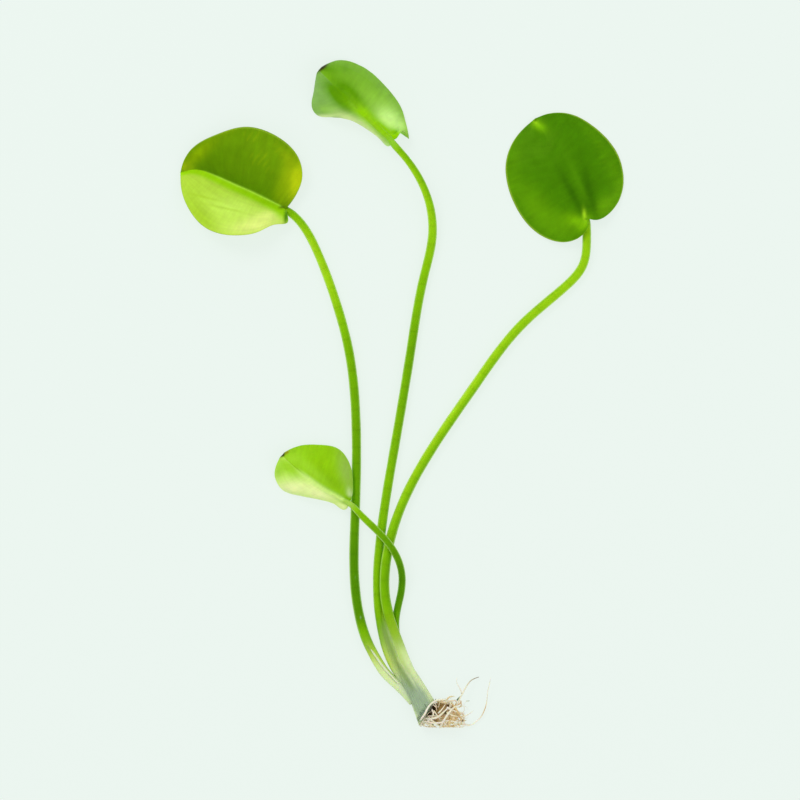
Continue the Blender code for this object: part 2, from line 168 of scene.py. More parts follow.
# Blades: upper face along the midrib and along each margin between its base and its tip, with the half on
# the right of the midrib first. Bulges are how far each half arches up near the base, the middle and the
# tip, and notches how deep the margin is drawn in beside the petiole
LEAVES = {
    "left": {
        "face_down": False,
        "midrib_depth": 2.4,
        "midrib": [
            (-52.3, 83.1, 3.1), (-63.4, 88.8, 2.6), (-73.5, 93.4, 2.1), (-84.0, 98.2, 1.6),
            (-93.0, 101.0, 1.5), (-99.8, 99.6, 2.1),
        ],
        "margins": ([
            (-48.0, 88.9, 5.0), (-44.9, 97.2, 7.0), (-46.5, 106.0, 8.0), (-57.3, 116.4, 8.0),
            (-70.2, 120.1, 7.2), (-83.0, 116.9, 5.6), (-95.4, 109.5, 3.6), (-98.9, 103.2, 2.5),
        ], [
            (-51.7, 77.0, 5.2), (-56.4, 76.2, 8.2), (-64.0, 73.0, 12.6), (-74.6, 71.1, 15.2),
            (-87.2, 73.9, 13.0), (-96.2, 83.6, 7.6), (-99.5, 93.0, 3.7),
        ]),
        "bulges": ((1.6, 1.6, 1.2), (2.0, 2.6, 1.6)),
        "notches": (0.0, 0.0),
    },
    "top": {
        "face_down": True,
        "midrib_depth": 2.6,
        "midrib": [
            (-4.6, 113.9, 11.4), (-13.0, 121.4, 13.8), (-23.3, 131.4, 15.0), (-31.5, 139.4, 13.2),
            (-37.5, 145.6, 8.6),
        ],
        "margins": ([
            (-1.7, 116.2, 10.8), (0.4, 118.2, 9.0), (3.0, 114.8, 4.6), (1.2, 123.5, 1.4),
            (-3.9, 133.7, 0.3), (-13.0, 143.6, 0.6), (-27.9, 149.9, 3.5),
        ], [
            (-6.2, 111.6, 8.6), (-9.6, 115.2, 5.0), (-17.0, 122.4, 1.2), (-27.4, 126.8, 0.2),
            (-38.0, 125.6, 0.4), (-40.2, 128.4, 1.2), (-39.8, 134.4, 3.2), (-38.5, 142.0, 6.6),
        ]),
        "bulges": ((0.5, 2.4, 2.0), (1.4, 3.0, 1.6)),
        "notches": (3.6, 0.0),
    },
    "right": {
        "face_down": False,
        "midrib_depth": 1.9,
        "midrib": [
            (83.2, 78.9, 6.5), (81.9, 82.9, 6.8), (77.5, 91.3, 7.0), (70.4, 104.5, 6.2), (64.2, 116.2, 3.6),
            (59.8, 124.0, 1.6),
        ],
        "margins": ([
            (86.5, 78.2, 6.2), (93.2, 81.2, 3.4), (99.2, 92.0, 1.2), (97.6, 106.5, 0.8), (87.6, 119.3, 0.8),
            (73.6, 126.4, 0.9), (66.5, 126.2, 1.1),
        ], [
            (83.7, 76.4, 6.8), (81.4, 71.8, 6.6), (73.9, 68.3, 5.0), (61.6, 71.8, 1.8), (49.0, 89.0, 0.8),
            (46.5, 103.0, 0.8), (51.8, 116.4, 0.9),
        ]),
        "bulges": ((1.0, 1.4, 1.0), (1.0, 1.4, 1.0)),
        "notches": (0.0, 0.0),
    },
    "small": {
        "face_down": True,
        "midrib_depth": 2.0,
        "midrib": [
            (-24.0, -48.7, 6.2), (-31.4, -44.9, 8.5), (-37.0, -41.5, 9.3), (-44.5, -36.0, 9.3),
            (-50.0, -31.2, 7.2), (-54.0, -27.4, 5.2),
        ],
        "margins": ([
            (-23.0, -45.3, 5.8), (-22.6, -36.6, 5.4), (-27.7, -25.3, 4.6), (-38.6, -22.7, 4.0),
            (-49.5, -24.7, 4.2),
        ], [
            (-25.8, -51.6, 4.4), (-30.6, -48.8, 1.6), (-40.0, -45.4, 0.3), (-54.2, -42.4, 0.3),
            (-57.2, -36.6, 1.8), (-55.9, -30.8, 4.4),
        ]),
        "bulges": ((1.4, 1.8, 1.4), (1.6, 2.6, 0.8)),
        "notches": (0.0, 0.0),
    },
}

BLADE_ROWS = 150
BLADE_COLUMNS = 56
BLADE_THICKNESS = 0.55
MIDRIB_EASE = 1.5
MIDRIB_SAMPLES = 400
# Part of the blade's length over which a notch is drawn in
NOTCH_START = 0.08
NOTCH_END = 0.34
# Places of the main veins between the midrib and the margin
MAIN_VEINS = (0.24, 0.46, 0.68, 0.88)
MAIN_VEIN_WIDTH = 0.014
MAIN_VEIN_HEIGHT = 0.05
CROSS_VEINS = 30
CROSS_VEIN_HEIGHT = 0.035
# Height, size and seed of the soft waves in a blade
WAVES = ((0.28, 9.0, 1.0), (0.10, 3.5, 2.0))
# Share of each half that the midrib swells, and where the rim starts to round off
MIDRIB_SHARE = 0.075
RIM_START = 0.97

# Colour of each blade. Its two halves, right of the midrib first, each have a ground colour and soft spots
# on the plan view: colour, middle in x and y, half length, half width, angle of the length in degrees, and
# strength. Spots under "both" lie on both halves. A line is the midrib's pale line: colour, half width,
# start and end along the blade. A band runs beside the midrib on the right (0) or left (1) half: colour,
# half, and its width at the base and at the tip. The rim has a colour and a strength. The brush gives each
# half its streaks: their strength and whether they run lengthwise. Ticks are patches where the fine veins
# show in a colour of their own. Marks lie over all the rest. Much of this colour is painted light and
# shade: a half painted lit and a half painted in shade, with painted sheen, glow and highlights
BLADE_PAINT = {
    "left": {
        # The moss half is painted in shade, darkest by the midrib. The lime half is painted lit, with light
        # glowing through it, from the vivid band by the midrib to cream by the margin. The olive by the tip
        # is a curled facet painted lit
        "grounds": ("moss", "lime"),
        "spots": ([
            ("moss light", -73.0, 114.8, 21.6, 3.1, 2, 0.7),
            ("moss streak", -60.4, 108.9, 12.0, 7.0, -50, 0.55),
            ("moss dark", -76.6, 96.3, 19.8, 3.6, -24, 0.9), ("moss dark", -84.2, 104.4, 6.3, 5.4, 0, 0.6),
            ("olive", -91.9, 108.0, 9.5, 2.9, 41, 0.95), ("gold", -97.3, 101.7, 2.7, 4.0, 60, 0.9),
            ("olive", -79.3, 118.4, 7.2, 1.4, 15, 0.5), ("gold", -51.8, 97.2, 11.7, 3.6, 78, 0.85),
            ("yellow", -47.3, 94.5, 7.7, 2.9, 76, 0.95), ("yellow", -47.3, 98.1, 4.5, 2.7, 80, 0.8),
            ("gold", -50.9, 105.3, 6.3, 2.2, -50, 0.6), ("olive", -55.0, 90.0, 4.5, 2.7, 70, 0.5),
        ], [
            ("lime dark", -91.0, 81.9, 9.9, 4.5, -52, 0.85), ("lime dark", -85.6, 75.6, 6.3, 2.7, -30, 0.5),
            ("lime light", -74.8, 83.2, 13.5, 5.0, -10, 0.9), ("lime light", -78.4, 77.4, 7.2, 4.5, 0, 0.5),
            ("cream", -65.8, 75.6, 11.7, 3.6, 10, 0.95), ("cream", -60.4, 79.7, 7.2, 2.7, 12, 0.8),
            ("lime light", -55.0, 80.5, 3.1, 2.7, 0, 0.6),
        ]),
        "line": ("vein light", 0.55, 0.06, 0.9),
        "band": ("vivid", 1, 7.6, 2.6),
        "rim": ("rim", 0.35),
        "brush": ((0.12, False), (0.07, True)),
        "ticks": [("gold", -63.1, 109.4, 13.0, 8.0, -40, 0.55)],
        "marks": [
            ("leaf", -52.3, 79.7, 3.6, 0.9, 86, 0.95), ("brown", -54.3, 83.9, 1.4, 0.6, 10, 0.6),
            ("lime dark", -88.6, 88.4, 8.0, 0.5, -14, 0.5), ("lime dark", -79.6, 83.4, 9.0, 0.5, -12, 0.45),
        ],
    },
    "top": {
        # The half on the right of the midrib is mostly painted in shade, with painted sheen on its edge and
        # painted light glowing through by the base. The left half is painted lit, with a bright hem along
        # the margin and a grey painted sheen towards the tip
        "grounds": ("under", "under grey sheen"),
        "spots": ([
            ("under sheen", -15.4, 133.2, 7.2, 4.0, -30, 0.7),
            ("under sheen", -8.2, 129.6, 6.3, 4.5, -40, 0.6),
            ("under pale", -6.2, 123.4, 6.4, 4.4, -35, 1.1), ("under pale", -2.6, 119.9, 3.4, 3.0, 0, 0.95),
            ("under dark", -33.4, 145.8, 4.5, 2.2, -20, 0.9),
            ("under dark", -26.0, 146.0, 4.5, 2.0, -20, 0.5),
            ("under mid", -32.5, 141.8, 3.6, 2.2, -45, 0.7),
            ("under dark", -24.6, 134.6, 8.0, 3.6, -44, 1.5),
            ("under mid", -22.6, 131.8, 4.5, 2.2, -44, 0.8),
            ("under vivid", -16.6, 126.0, 5.4, 2.0, -42, 1.0),
            ("under vivid", -8.0, 117.6, 9.0, 2.1, -42, 1.6),
            ("under vivid", -3.3, 116.4, 3.0, 1.9, -40, 1.5), ("brown", -37.9, 145.3, 2.0, 0.7, 40, 0.8),
        ], [
            ("under mid", -24.6, 129.0, 7.2, 2.2, -44, 0.8),
            ("under dark", -28.2, 134.0, 8.6, 3.2, -48, 1.5),
            ("under vivid", -14.0, 121.8, 11.0, 2.0, -43, 1.6),
            ("under sheen", -34.0, 128.0, 5.4, 2.2, 0, 0.6), ("under lit hem", -35.2, 125.2, 6.3, 0.9, 2, 0.9),
            ("under lit hem", -23.0, 123.4, 7.0, 2.0, -24, 0.9),
            ("under lit hem", -12.8, 116.8, 7.6, 1.7, -42, 1.0), ("under pale", -6.4, 111.6, 1.8, 1.4, 0, 0.8),
            ("brown", -37.9, 145.3, 2.0, 0.7, 40, 0.8),
        ]),
        "rim": ("rim", 0.45),
        "brush": ((0.08, False), (0.06, False)),
        "marks": [("brown", -35.6, 146.4, 2.6, 0.9, 36, 1.3)],
    },
    "right": {
        "grounds": ("leaf", "leaf"),
        "spots": ([], []),
        # Painted shade in the two hollows beside the midrib. The lime spots are painted light: glowing
        # through the blade by the notch, and a painted highlight on the bump at the tip
        "both": [
            ("leaf edge", 49.0, 101.7, 15.3, 4.0, 84, 0.9), ("leaf edge", 96.2, 98.1, 16.2, 3.6, -66, 0.9),
            ("leaf edge", 85.4, 117.0, 9.9, 2.7, -48, 0.6),
            ("leaf light", 60.2, 83.7, 16.2, 5.9, -50, 0.95),
            ("leaf light", 71.0, 75.6, 9.9, 5.4, -16, 0.75), ("leaf light", 91.7, 85.0, 6.3, 3.6, 40, 0.95),
            ("leaf light", 97.6, 92.7, 6.8, 1.8, 72, 0.7), ("leaf lime", 78.2, 78.0, 5.4, 2.7, -14, 0.85),
            ("leaf valley shade", 76.4, 90.0, 12.6, 1.9, -62, 1.0), ("leaf light", 90.0, 82.6, 4.5, 3.0, 40, 0.7),
            ("leaf valley shade", 83.9, 91.2, 12.2, 2.7, -78, 1.0),
            ("leaf valley shade", 84.4, 84.6, 3.6, 2.0, -60, 0.8),
            ("leaf midrib", 78.7, 96.3, 13.5, 1.4, -66, 0.7), ("leaf lime", 81.8, 76.5, 3.6, 2.0, 62, 0.95),
            ("leaf lit spot", 81.9, 80.4, 2.7, 0.9, -84, 0.9), ("leaf lime", 61.1, 121.0, 3.8, 2.0, -36, 0.95),
            ("leaf lit spot", 60.1, 122.0, 1.8, 0.8, -36, 0.5), ("brown", 60.0, 123.3, 1.0, 0.5, 30, 0.5),
        ],
        "rim": ("rim", 0.55),
        "brush": ((0.1, False), (0.1, False)),
        "ticks": [
            ("leaf light", 50.0, 97.0, 8.0, 3.0, 80, 0.5), ("leaf light", 92.5, 105.0, 14.0, 4.0, -60, 0.5),
            ("leaf light", 61.0, 81.0, 9.0, 4.0, -40, 0.4),
        ],
    },
    "small": {
        # The left half is painted lit, palest by the margin, and the grey on the right edge is a painted
        # sheen. The dark band beside the midrib is painted shade, and its pale line is partly a painted
        # highlight on the midrib's ridge
        "grounds": ("young", "young lime"),
        "spots": ([
            ("young light", -50.0, -29.7, 6.3, 3.6, 20, 0.8),
            ("young grey sheen", -25.4, -34.6, 9.4, 3.2, -78, 0.95),
            ("young dark", -31.6, -39.6, 8.0, 2.7, -42, 0.85),
            ("young light", -43.3, -31.6, 4.5, 1.8, -28, 0.5),
            ("young mist", -23.7, -44.8, 2.6, 1.2, -75, 0.95),
            ("young light", -40.0, -35.4, 8.0, 1.9, -36, 0.8),
        ], [
            ("young light", -50.6, -33.2, 7.2, 3.0, -36, 1.1),
            ("young pale", -49.0, -42.0, 9.0, 3.4, 2, 1.0),
            ("young pale", -37.4, -44.6, 9.0, 3.0, -18, 1.0),
            ("young pale", -26.6, -50.4, 3.6, 2.2, -20, 0.8),
            ("young light", -54.6, -34.0, 4.0, 2.6, 50, 0.8),
        ]),
        "both": [("young dark", -25.2, -49.1, 4.2, 0.9, -32, 0.6)],
        "line": ("vein pale", 1.1, 0.14, 0.85),
        "band": ("young dark", 0, 3.2, 0.05),
        "rim": ("young pale", 0.3),
        "brush": ((0.06, False), (0.05, True)),
        "marks": [("brown", -53.5, -27.6, 1.3, 0.6, 40, 1.2), ("rust", -51.6, -26.6, 1.0, 0.5, 30, 0.7)],
    },
}


def linear(colour):
    """A colour of the screen, given by its name or its numbers, as linear red, green and blue."""
    shares = [level / 255.0 for level in INK.get(colour, colour)]
    return np.array([s / 12.92 if s <= 0.04 else ((s + 0.055) / 1.055) ** 2.4 for s in shares])


def smoothstep(low, high, value):
    """0 below low, 1 above high and a soft step between them."""
    t = np.clip((value - low) / (high - low), 0.0, 1.0)
    return t * t * (3.0 - 2.0 * t)


def smooth_curve(points, count):
    """Evenly spaced points on the natural cubic spline through the given ones."""
    points = np.array(points, float)
    chords = np.linalg.norm(np.diff(points, axis=0), axis=1)
    knots = np.concatenate(([0.0], np.cumsum(chords)))
    system = np.eye(len(points))
    change = np.zeros_like(points)
    for i in range(1, len(points) - 1):
        before, after = chords[i - 1], chords[i]
        system[i, i - 1:i + 2] = before, 2.0 * (before + after), after
        change[i] = 6.0 * ((points[i + 1] - points[i]) / after - (points[i] - points[i - 1]) / before)
    bend = np.linalg.solve(system, change)
    where = np.linspace(0.0, knots[-1], count)
    i = np.clip(np.searchsorted(knots, where, side="right") - 1, 0, len(chords) - 1)
    span = chords[i][:, None]
    near = (knots[i + 1] - where)[:, None] / span
    far = 1.0 - near
    straight = near * points[i] + far * points[i + 1]
    return straight + ((near**3 - near) * bend[i] + (far**3 - far) * bend[i + 1]) * span**2 / 6.0


def spread(values, count):
    """The given values as equal steps along a line, read at evenly spaced places."""
    return np.interp(np.linspace(0.0, 1.0, count), np.linspace(0.0, 1.0, len(values)), values)


def unit(vectors):
    """Each vector at length one."""
    return vectors / np.maximum(np.linalg.norm(vectors, axis=-1, keepdims=True), 1e-9)


def ripple(points, size, seed):
    """Soft noise between -1 and 1 at each point, with features of the given size in millimetres."""
    shift = Vector((seed * 17.3, seed * 5.1, seed * 9.7))
    return np.array([noise.noise(Vector(p) / size + shift) for p in points])


def ripple_on(sheet, size, seed):
    """The same soft noise on a sheet of points."""
    return ripple(sheet.reshape(-1, 3), size, seed).reshape(sheet.shape[:2])


def make_object(name, verts, faces, tint, uv, material):
    """A smooth mesh object from points in millimetres, with a colour and a place in the pattern each."""
    verts = np.clip(np.array(verts, float), BOX_LOW, BOX_HIGH) * MM
    mesh = bpy.data.meshes.new(name)
    mesh.from_pydata(verts.tolist(), [], faces)
    colours = mesh.color_attributes.new("tint", "FLOAT_COLOR", "POINT")
    colours.data.foreach_set("color", np.hstack([tint, np.ones((len(tint), 1))]).astype(np.float32).ravel())
    corners = np.zeros(len(mesh.loops), int)
    mesh.loops.foreach_get("vertex_index", corners)
    layer = mesh.uv_layers.new(name="pattern")
    layer.data.foreach_set("uv", np.array(uv, float)[corners].astype(np.float32).ravel())
    mesh.materials.append(material)
    mesh.shade_smooth()
    mesh.update()
    ob = bpy.data.objects.new(name, mesh)
    bpy.context.scene.collection.objects.link(ob)
    return ob


def blade_half(leaf, half):
    """Points from the midrib to its right (0) or left (1) margin, arched up: row by row to the tip."""
    steps = np.linspace(0.0, 1.0, BLADE_ROWS + 1)
    base, *_, tip = leaf["midrib"]
    fine = smooth_curve(leaf["midrib"], MIDRIB_SAMPLES + 1)
    places = MIDRIB_SAMPLES * steps**MIDRIB_EASE
    centre = np.stack([np.interp(places, np.arange(MIDRIB_SAMPLES + 1), line) for line in fine.T], axis=1)
    outward = smooth_curve([base, *leaf["margins"][half], tip], BLADE_ROWS + 1) - centre
    forward = np.gradient(centre, axis=0)
    upward = unit(np.cross(outward, forward) * (1 - 2 * half))
    arches = spread(leaf["bulges"][half], BLADE_ROWS + 1) * np.sin(math.pi * steps) ** 0.5
    parts = np.linspace(0.0, 1.0, BLADE_COLUMNS + 1)
    lift = arches[:, None] * np.sin(math.pi * parts)[None, :]
    within = np.clip((steps - NOTCH_START) / (NOTCH_END - NOTCH_START), 0.0, 1.0)
    notch = leaf["notches"][half] * np.sin(math.pi * within)
    inward = (unit(forward) * notch[:, None])[:, None] * np.sin(math.pi * parts**3)[None, :, None]
    flat = centre[:, None] + outward[:, None] * parts[None, :, None]
    return flat + upward[:, None] * lift[:, :, None] + inward


def blade_sheet(leaf):
    """The upper face as rows of points, with each point's place across (-1 to 1) and along (0 to 1)."""
    sheet = np.concatenate([blade_half(leaf, 1)[:, :0:-1], blade_half(leaf, 0)], axis=1)
    across = np.linspace(-1.0, 1.0, 2 * BLADE_COLUMNS + 1)
    along = np.linspace(0.0, 1.0, BLADE_ROWS + 1)
    return sheet, *np.meshgrid(across, along)


def sheet_normals(sheet):
    """Normals of a sheet of points, turned so that they point up on the whole."""
    rows = np.gradient(sheet, axis=0)
    columns = np.gradient(sheet, axis=1)
    normals = unit(np.cross(columns, rows))
    normals[0] = normals[1]
    normals[-1] = normals[-2]
    if normals[:, :, 2].mean() < 0.0:
        normals = -normals
    return normals


def cross_veins(across, along):
    """1 on the fine veins that run from the midrib to the margin, 0 between them."""
    sway = 0.25 * np.sin(5.0 * across + 3.0) + 0.08 * np.sin(23.0 * across)
    phase = (along + 0.10 * np.abs(across)) * CROSS_VEINS + sway
    return np.abs(np.sin(math.pi * phase)) ** 8


def vein_relief(across, along):
    """Height of the veins above the lower side, in millimetres."""
    fade = np.sin(math.pi * np.clip(along, 0.0, 1.0)) ** 0.7
    relief = CROSS_VEIN_HEIGHT * cross_veins(across, along) * fade * smoothstep(0.03, 0.15, np.abs(across))
    for vein in MAIN_VEINS:
        relief += MAIN_VEIN_HEIGHT * np.exp(-((np.abs(across) - vein) / MAIN_VEIN_WIDTH) ** 2) * fade
    return relief


def brushed(across, along, lengthwise, seed):
    """Soft streaks between -1 and 1 that run from the midrib to the margin, or lengthwise."""
    fine, coarse = (26.0, 3.0) if lengthwise else (3.0, 36.0)
    places = np.stack([across * fine, along * coarse, np.zeros_like(along)], axis=-1)
    return ripple(places.reshape(-1, 3), 1.0, seed).reshape(across.shape)


def soft_patch(x, y, patch):
    """Strength of a soft elliptical spot at plan positions."""
    _, middle_x, middle_y, length, width, angle, strength = patch
    turn = math.radians(angle)
    u = (x - middle_x) * math.cos(turn) + (y - middle_y) * math.sin(turn)
    v = (y - middle_y) * math.cos(turn) - (x - middle_x) * math.sin(turn)
    return strength * np.exp(-((u / length) ** 2 + (v / width) ** 2))


def mix(colours, name, amount):
    """Colours moved towards the named one by an amount per point."""
    amount = np.clip(amount, 0.0, 1.0)[..., None]
    return colours * (1.0 - amount) + linear(name) * amount


def blade_tint(paint, sheet, across, along):
    """Colour of the blade at each point of the sheet."""
    x, y = sheet[..., 0], sheet[..., 1]
    halves = []
    for ground, spots, brush in zip(paint["grounds"], paint["spots"], paint["brush"]):
        tint = np.broadcast_to(linear(ground), sheet.shape).copy()
        for spot in spots + paint.get("both", []):
            tint = mix(tint, spot[0], soft_patch(x, y, spot))
        strength, lengthwise = brush
        halves.append(tint * (1.0 + strength * brushed(across, along, lengthwise, 4.0))[..., None])
    reach = np.linalg.norm(sheet - sheet[:, BLADE_COLUMNS:BLADE_COLUMNS + 1], axis=-1)
    if "band" in paint:
        name, half, base_width, tip_width = paint["band"]
        width = base_width + (tip_width - base_width) * along**0.6
        halves[half] = mix(halves[half], name, smoothstep(width * 1.45, width * 0.65, reach))
    right_share = smoothstep(-0.012, 0.012, across)[..., None]
    tint = halves[0] * right_share + halves[1] * (1.0 - right_share)
    if "line" in paint:
        name, width, start, end = paint["line"]
        fade = smoothstep(start, start + 0.1, along) * smoothstep(end, end - 0.2, along)
        tint = mix(tint, name, 0.8 * np.exp(-(reach / width) ** 2) * fade)
    broken = cross_veins(across, along) * smoothstep(-0.2, 0.3, ripple_on(sheet, 5.0, 9.0))
    for patch in paint.get("ticks", []):
        tint = mix(tint, patch[0], soft_patch(x, y, patch) * broken)
    for mark in paint.get("marks", []):
        tint = mix(tint, mark[0], soft_patch(x, y, mark))
    name, strength = paint["rim"]
    return mix(tint, name, strength * smoothstep(0.96, 0.995, np.abs(across)))


def blade(side, material):
    """A leaf blade with veins on both faces, a thin round rim and its colours, painted light and shade
    among them.
    """
    leaf = LEAVES[side]
    sheet, across, along = blade_sheet(leaf)
    waves = sum(height * ripple_on(sheet, size, seed) for height, size, seed in WAVES)
    waves = waves * smoothstep(0.0, 0.1, along) * smoothstep(1.0, 0.95, along)
    normals = sheet_normals(sheet)
    sheet = sheet + normals * waves[..., None]
    relief = vein_relief(across, along)
    outer = np.clip(np.abs(across) - RIM_START, 0.0, None) / (1.0 - RIM_START)
    rim = np.sqrt(np.clip(1.0 - outer**2, 0.0, 1.0))
    swell = leaf["midrib_depth"] * (1.0 - along) * np.exp(-(across / MIDRIB_SHARE) ** 2) * 0.5
    ends = smoothstep(0.0, 0.03, along) * smoothstep(1.0, 0.97, along)
    thickness = (BLADE_THICKNESS + swell + relief) * rim * ends
    down = 1.0 if leaf["face_down"] else -1.0
    upper = sheet - normals * (down * -0.5 * relief * rim)[..., None]
    lower = sheet + normals * (down * thickness)[..., None]
    tint = blade_tint(BLADE_PAINT[side], sheet, across, along)

    rows, columns = across.shape
    places = np.tile(np.stack([0.5 + 0.5 * across, along], axis=-1).reshape(-1, 2), (2, 1))
    verts = np.concatenate([upper.reshape(-1, 3), lower.reshape(-1, 3)])
    faces = []
    offset = rows * columns
    for row in range(rows - 1):
        for column in range(columns - 1):
            a = row * columns + column
            quad = (a, a + 1, a + columns + 1, a + columns)
            faces.append(quad)
            faces.append(tuple(offset + i for i in reversed(quad)))
    tints = np.tile(tint.reshape(-1, 3), (2, 1))
    ob = make_object("blade_" + side, verts, faces, tints, places, material)
    close_mesh(ob)
    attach(ob, "root")
    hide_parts("leaf_" + side)


def close_mesh(ob, weld=True):
    """Joins the points that lie on one another, where asked, and turns every face outwards."""
    shape = bmesh.new()
    shape.from_mesh(ob.data)
    if weld:
        bmesh.ops.remove_doubles(shape, verts=shape.verts, dist=0.000004)
        bmesh.ops.dissolve_degenerate(shape, edges=shape.edges, dist=0.000001)
    bmesh.ops.recalc_face_normals(shape, faces=shape.faces)
    shape.to_mesh(ob.data)
    shape.free()


def tube_rings(points, half_width, half_height, sides, flutes=None):
    """Rings of points around a route that lies more or less level, with the first point of each on top."""
    tangents = unit(np.gradient(points, axis=0))
    sideways = unit(np.cross(tangents, (0.0, 0.0, 1.0)))
    upward = np.cross(sideways, tangents)
    turns = np.linspace(0.0, 2.0 * math.pi, sides, endpoint=False)
    scale = np.ones((len(points), sides)) if flutes is None else flutes
    wide = np.asarray(half_width)[:, None] * np.sin(turns)[None, :] * scale
    high = np.asarray(half_height)[:, None] * np.cos(turns)[None, :] * scale
    return points[:, None] + sideways[:, None] * wide[..., None] + upward[:, None] * high[..., None]


def ring_faces(count, sides, start):
    """Faces of a tube of rings with a point at each end, whose first point has the number start."""
    faces = []
    for ring in range(count - 1):
        for side in range(sides):
            a = start + ring * sides + side
            b = start + ring * sides + (side + 1) % sides
            faces.append((a, b, b + sides, a + sides))
    first = start + count * sides
    last = first + 1
    for side in range(sides):
        following = (side + 1) % sides
        faces.append((first, start + following, start + side))
        end = start + (count - 1) * sides
        faces.append((last, end + side, end + following))
    return faces


def tube_mesh(points, half_width, half_height, sides, start=0, flutes=None):
    """Points, faces and pattern places of a closed tube."""
    rings = tube_rings(points, half_width, half_height, sides, flutes)
    count = len(points)
    verts = np.concatenate([rings.reshape(-1, 3), points[:1], points[-1:]])
    run = np.concatenate(([0.0], np.cumsum(np.linalg.norm(np.diff(points, axis=0), axis=1))))
    around = np.abs(np.linspace(-1.0, 1.0, sides + 1)[:-1])
    places = np.stack(np.broadcast_arrays(1.0 - around[None, :], run[:, None] / 100.0), axis=-1)
    places = np.concatenate([places.reshape(-1, 2), [[0.5, 0.0]], [[0.5, run[-1] / 100.0]]])
    return verts, ring_faces(count, sides, start), places


# Middle of the crown's top, the way from there to the roots on the plan view, and the way to its right
FADE_ORIGIN = np.array([0.0, -121.0])
FADE_DIRECTION = np.array([0.47, -0.88])
FADE_SIDEWAYS = np.array([0.88, 0.47])
# Where one colour turns into the next from the leaves' end to the break, as distances towards the roots:
# first in the core of the bundle, then on its left flank
# Crown grey is the crown's pale colour darkened by painted shade
CORE_TURNS = (("core pale", -23.0, 0.0), ("crown grey", -4.0, 12.0))
FLANK_TURNS = (("flank lime", -22.0, -4.0), ("flank pale", -5.0, 10.0), ("crown grey", 10.0, 18.0))
# Distances towards the roots with how far to the right the outline is there, on its right and on its left
EDGE_STOPS = (-6.0, 9.0, 16.0, 22.0)
RIGHT_EDGE = (3.0, 3.0, 4.8, 5.2)
LEFT_EDGE = (-9.8, -7.8, -6.4, -6.2)
# The grey-green groove of the bundle, and the slit in the left petiole's base as plan positions; both are
# painted as lines of shade
GROOVE_STOPS = (-22.0, -12.0, -2.0, 6.0, 11.0)
GROOVE_ASIDE = (0.4, -1.1, -2.3, -1.7, -1.4)
SLIT = ((-15.7, -113.4), (-14.1, -115.4), (-11.3, -119.5), (-8.2, -123.6), (-4.6, -127.6), (-2.4, -129.8))
SLIT_POINTS = 120
STALK_STEP = 0.6
STALK_SIDES = 36
RIDGE_POINTS = 9
SEPTUM_SPACING = 8.0
SPECKS = ((-20.6, -82.4), (-18.5, -100.4))


def crown_distance(points):
    """How far each point lies past the top of the crown, towards the roots."""
    return (points[..., :2] - FADE_ORIGIN) @ FADE_DIRECTION


def crown_aside(points):
    """How far each point lies to the right of the crown's middle line."""
    return (points[..., :2] - FADE_ORIGIN) @ FADE_SIDEWAYS


def colour_line(colours, stops, where):
    """Colour at each place along a line of colours."""
    colours = np.array([linear(colour) for colour in colours])
    return np.stack([np.interp(where, stops, channel) for channel in colours.T], axis=-1)


def base_tint(points):
    """Colour of the crown and the petiole bases by plan position, whichever piece lies on top there, with
    painted shade in the groove and along the slit and painted rim light along the outlines.
    """
    past = crown_distance(points)
    aside = crown_aside(points)
    core = side = np.broadcast_to(linear("bundle green"), points.shape)
    for name, start, end in CORE_TURNS:
        core = mix(core, name, smoothstep(start, end, past))
    for name, start, end in FLANK_TURNS:
        side = mix(side, name, smoothstep(start, end, past))
    flank = smoothstep(-3.2, -5.5, aside)[..., None]
    tint = core * (1.0 - flank) + side * flank
    tint = mix(tint, "base green", 0.7 * smoothstep(0.5, 2.5, aside) * smoothstep(2.0, -12.0, past))
    beside = aside - np.interp(past, GROOVE_STOPS, GROOVE_ASIDE)
    length = smoothstep(-24.0, -14.0, past) * smoothstep(16.0, 9.0, past)
    # Painted shade in the groove, with a pale line on the ridge beside it
    tint = mix(tint, "base groove shade", 0.75 * length * np.exp(-(beside / 1.2) ** 2))
    tint = mix(tint, "base edge light", 0.55 * length * np.exp(-((beside - 1.7) / 0.5) ** 2))
    # Painted rim light along the right and left outlines
    right = np.interp(past, EDGE_STOPS, RIGHT_EDGE)
    pale = smoothstep(right - 3.4, right - 0.2, aside) * smoothstep(-14.0, 3.0, past)
    tint = mix(tint, "base edge light", 0.9 * pale)
    left = np.interp(past, EDGE_STOPS, LEFT_EDGE)
    pale = smoothstep(left + 2.6, left, aside) * smoothstep(-12.0, 0.0, past)
    tint = mix(tint, "base edge light", 0.8 * pale)
    # Painted shadow along the slit
    fine = np.stack([spread(line, SLIT_POINTS) for line in zip(*SLIT)], axis=-1)
    gap = np.linalg.norm(points[..., None, :2] - fine, axis=-1).min(axis=-1)
    return mix(tint, "base groove shade", 0.65 * np.exp(-(gap / 0.4) ** 2))


def ridge_route(leaf):
    """Points of the petiole's continuation along the midrib, and its radius at each."""
    sheet, _, _ = blade_sheet(leaf)
    normals = sheet_normals(sheet)
    lift = 0.25 if leaf["face_down"] else -1.35
    points = []
    radii = []
    for step in range(1, RIDGE_POINTS + 1):
        part = step / RIDGE_POINTS
        row = round((BLADE_ROWS - 2) * part**0.75)
        radius = 0.42 * (BLADE_THICKNESS + leaf["midrib_depth"]) * (1.0 - row / BLADE_ROWS) + 0.15
        points.append(sheet[row, BLADE_COLUMNS] + lift * radius * normals[row, BLADE_COLUMNS])
        radii.append(radius)
    return points, radii


def midrib_tint(side, points):
    """The blade's colour where its midrib passes nearest to each point."""
    sheet, across, along = blade_sheet(LEAVES[side])
    tint = blade_tint(BLADE_PAINT[side], sheet, across, along)[:, BLADE_COLUMNS]
    gaps = np.linalg.norm(points[:, None] - sheet[None, :, BLADE_COLUMNS], axis=-1)
    return tint[np.argmin(gaps, axis=1)]


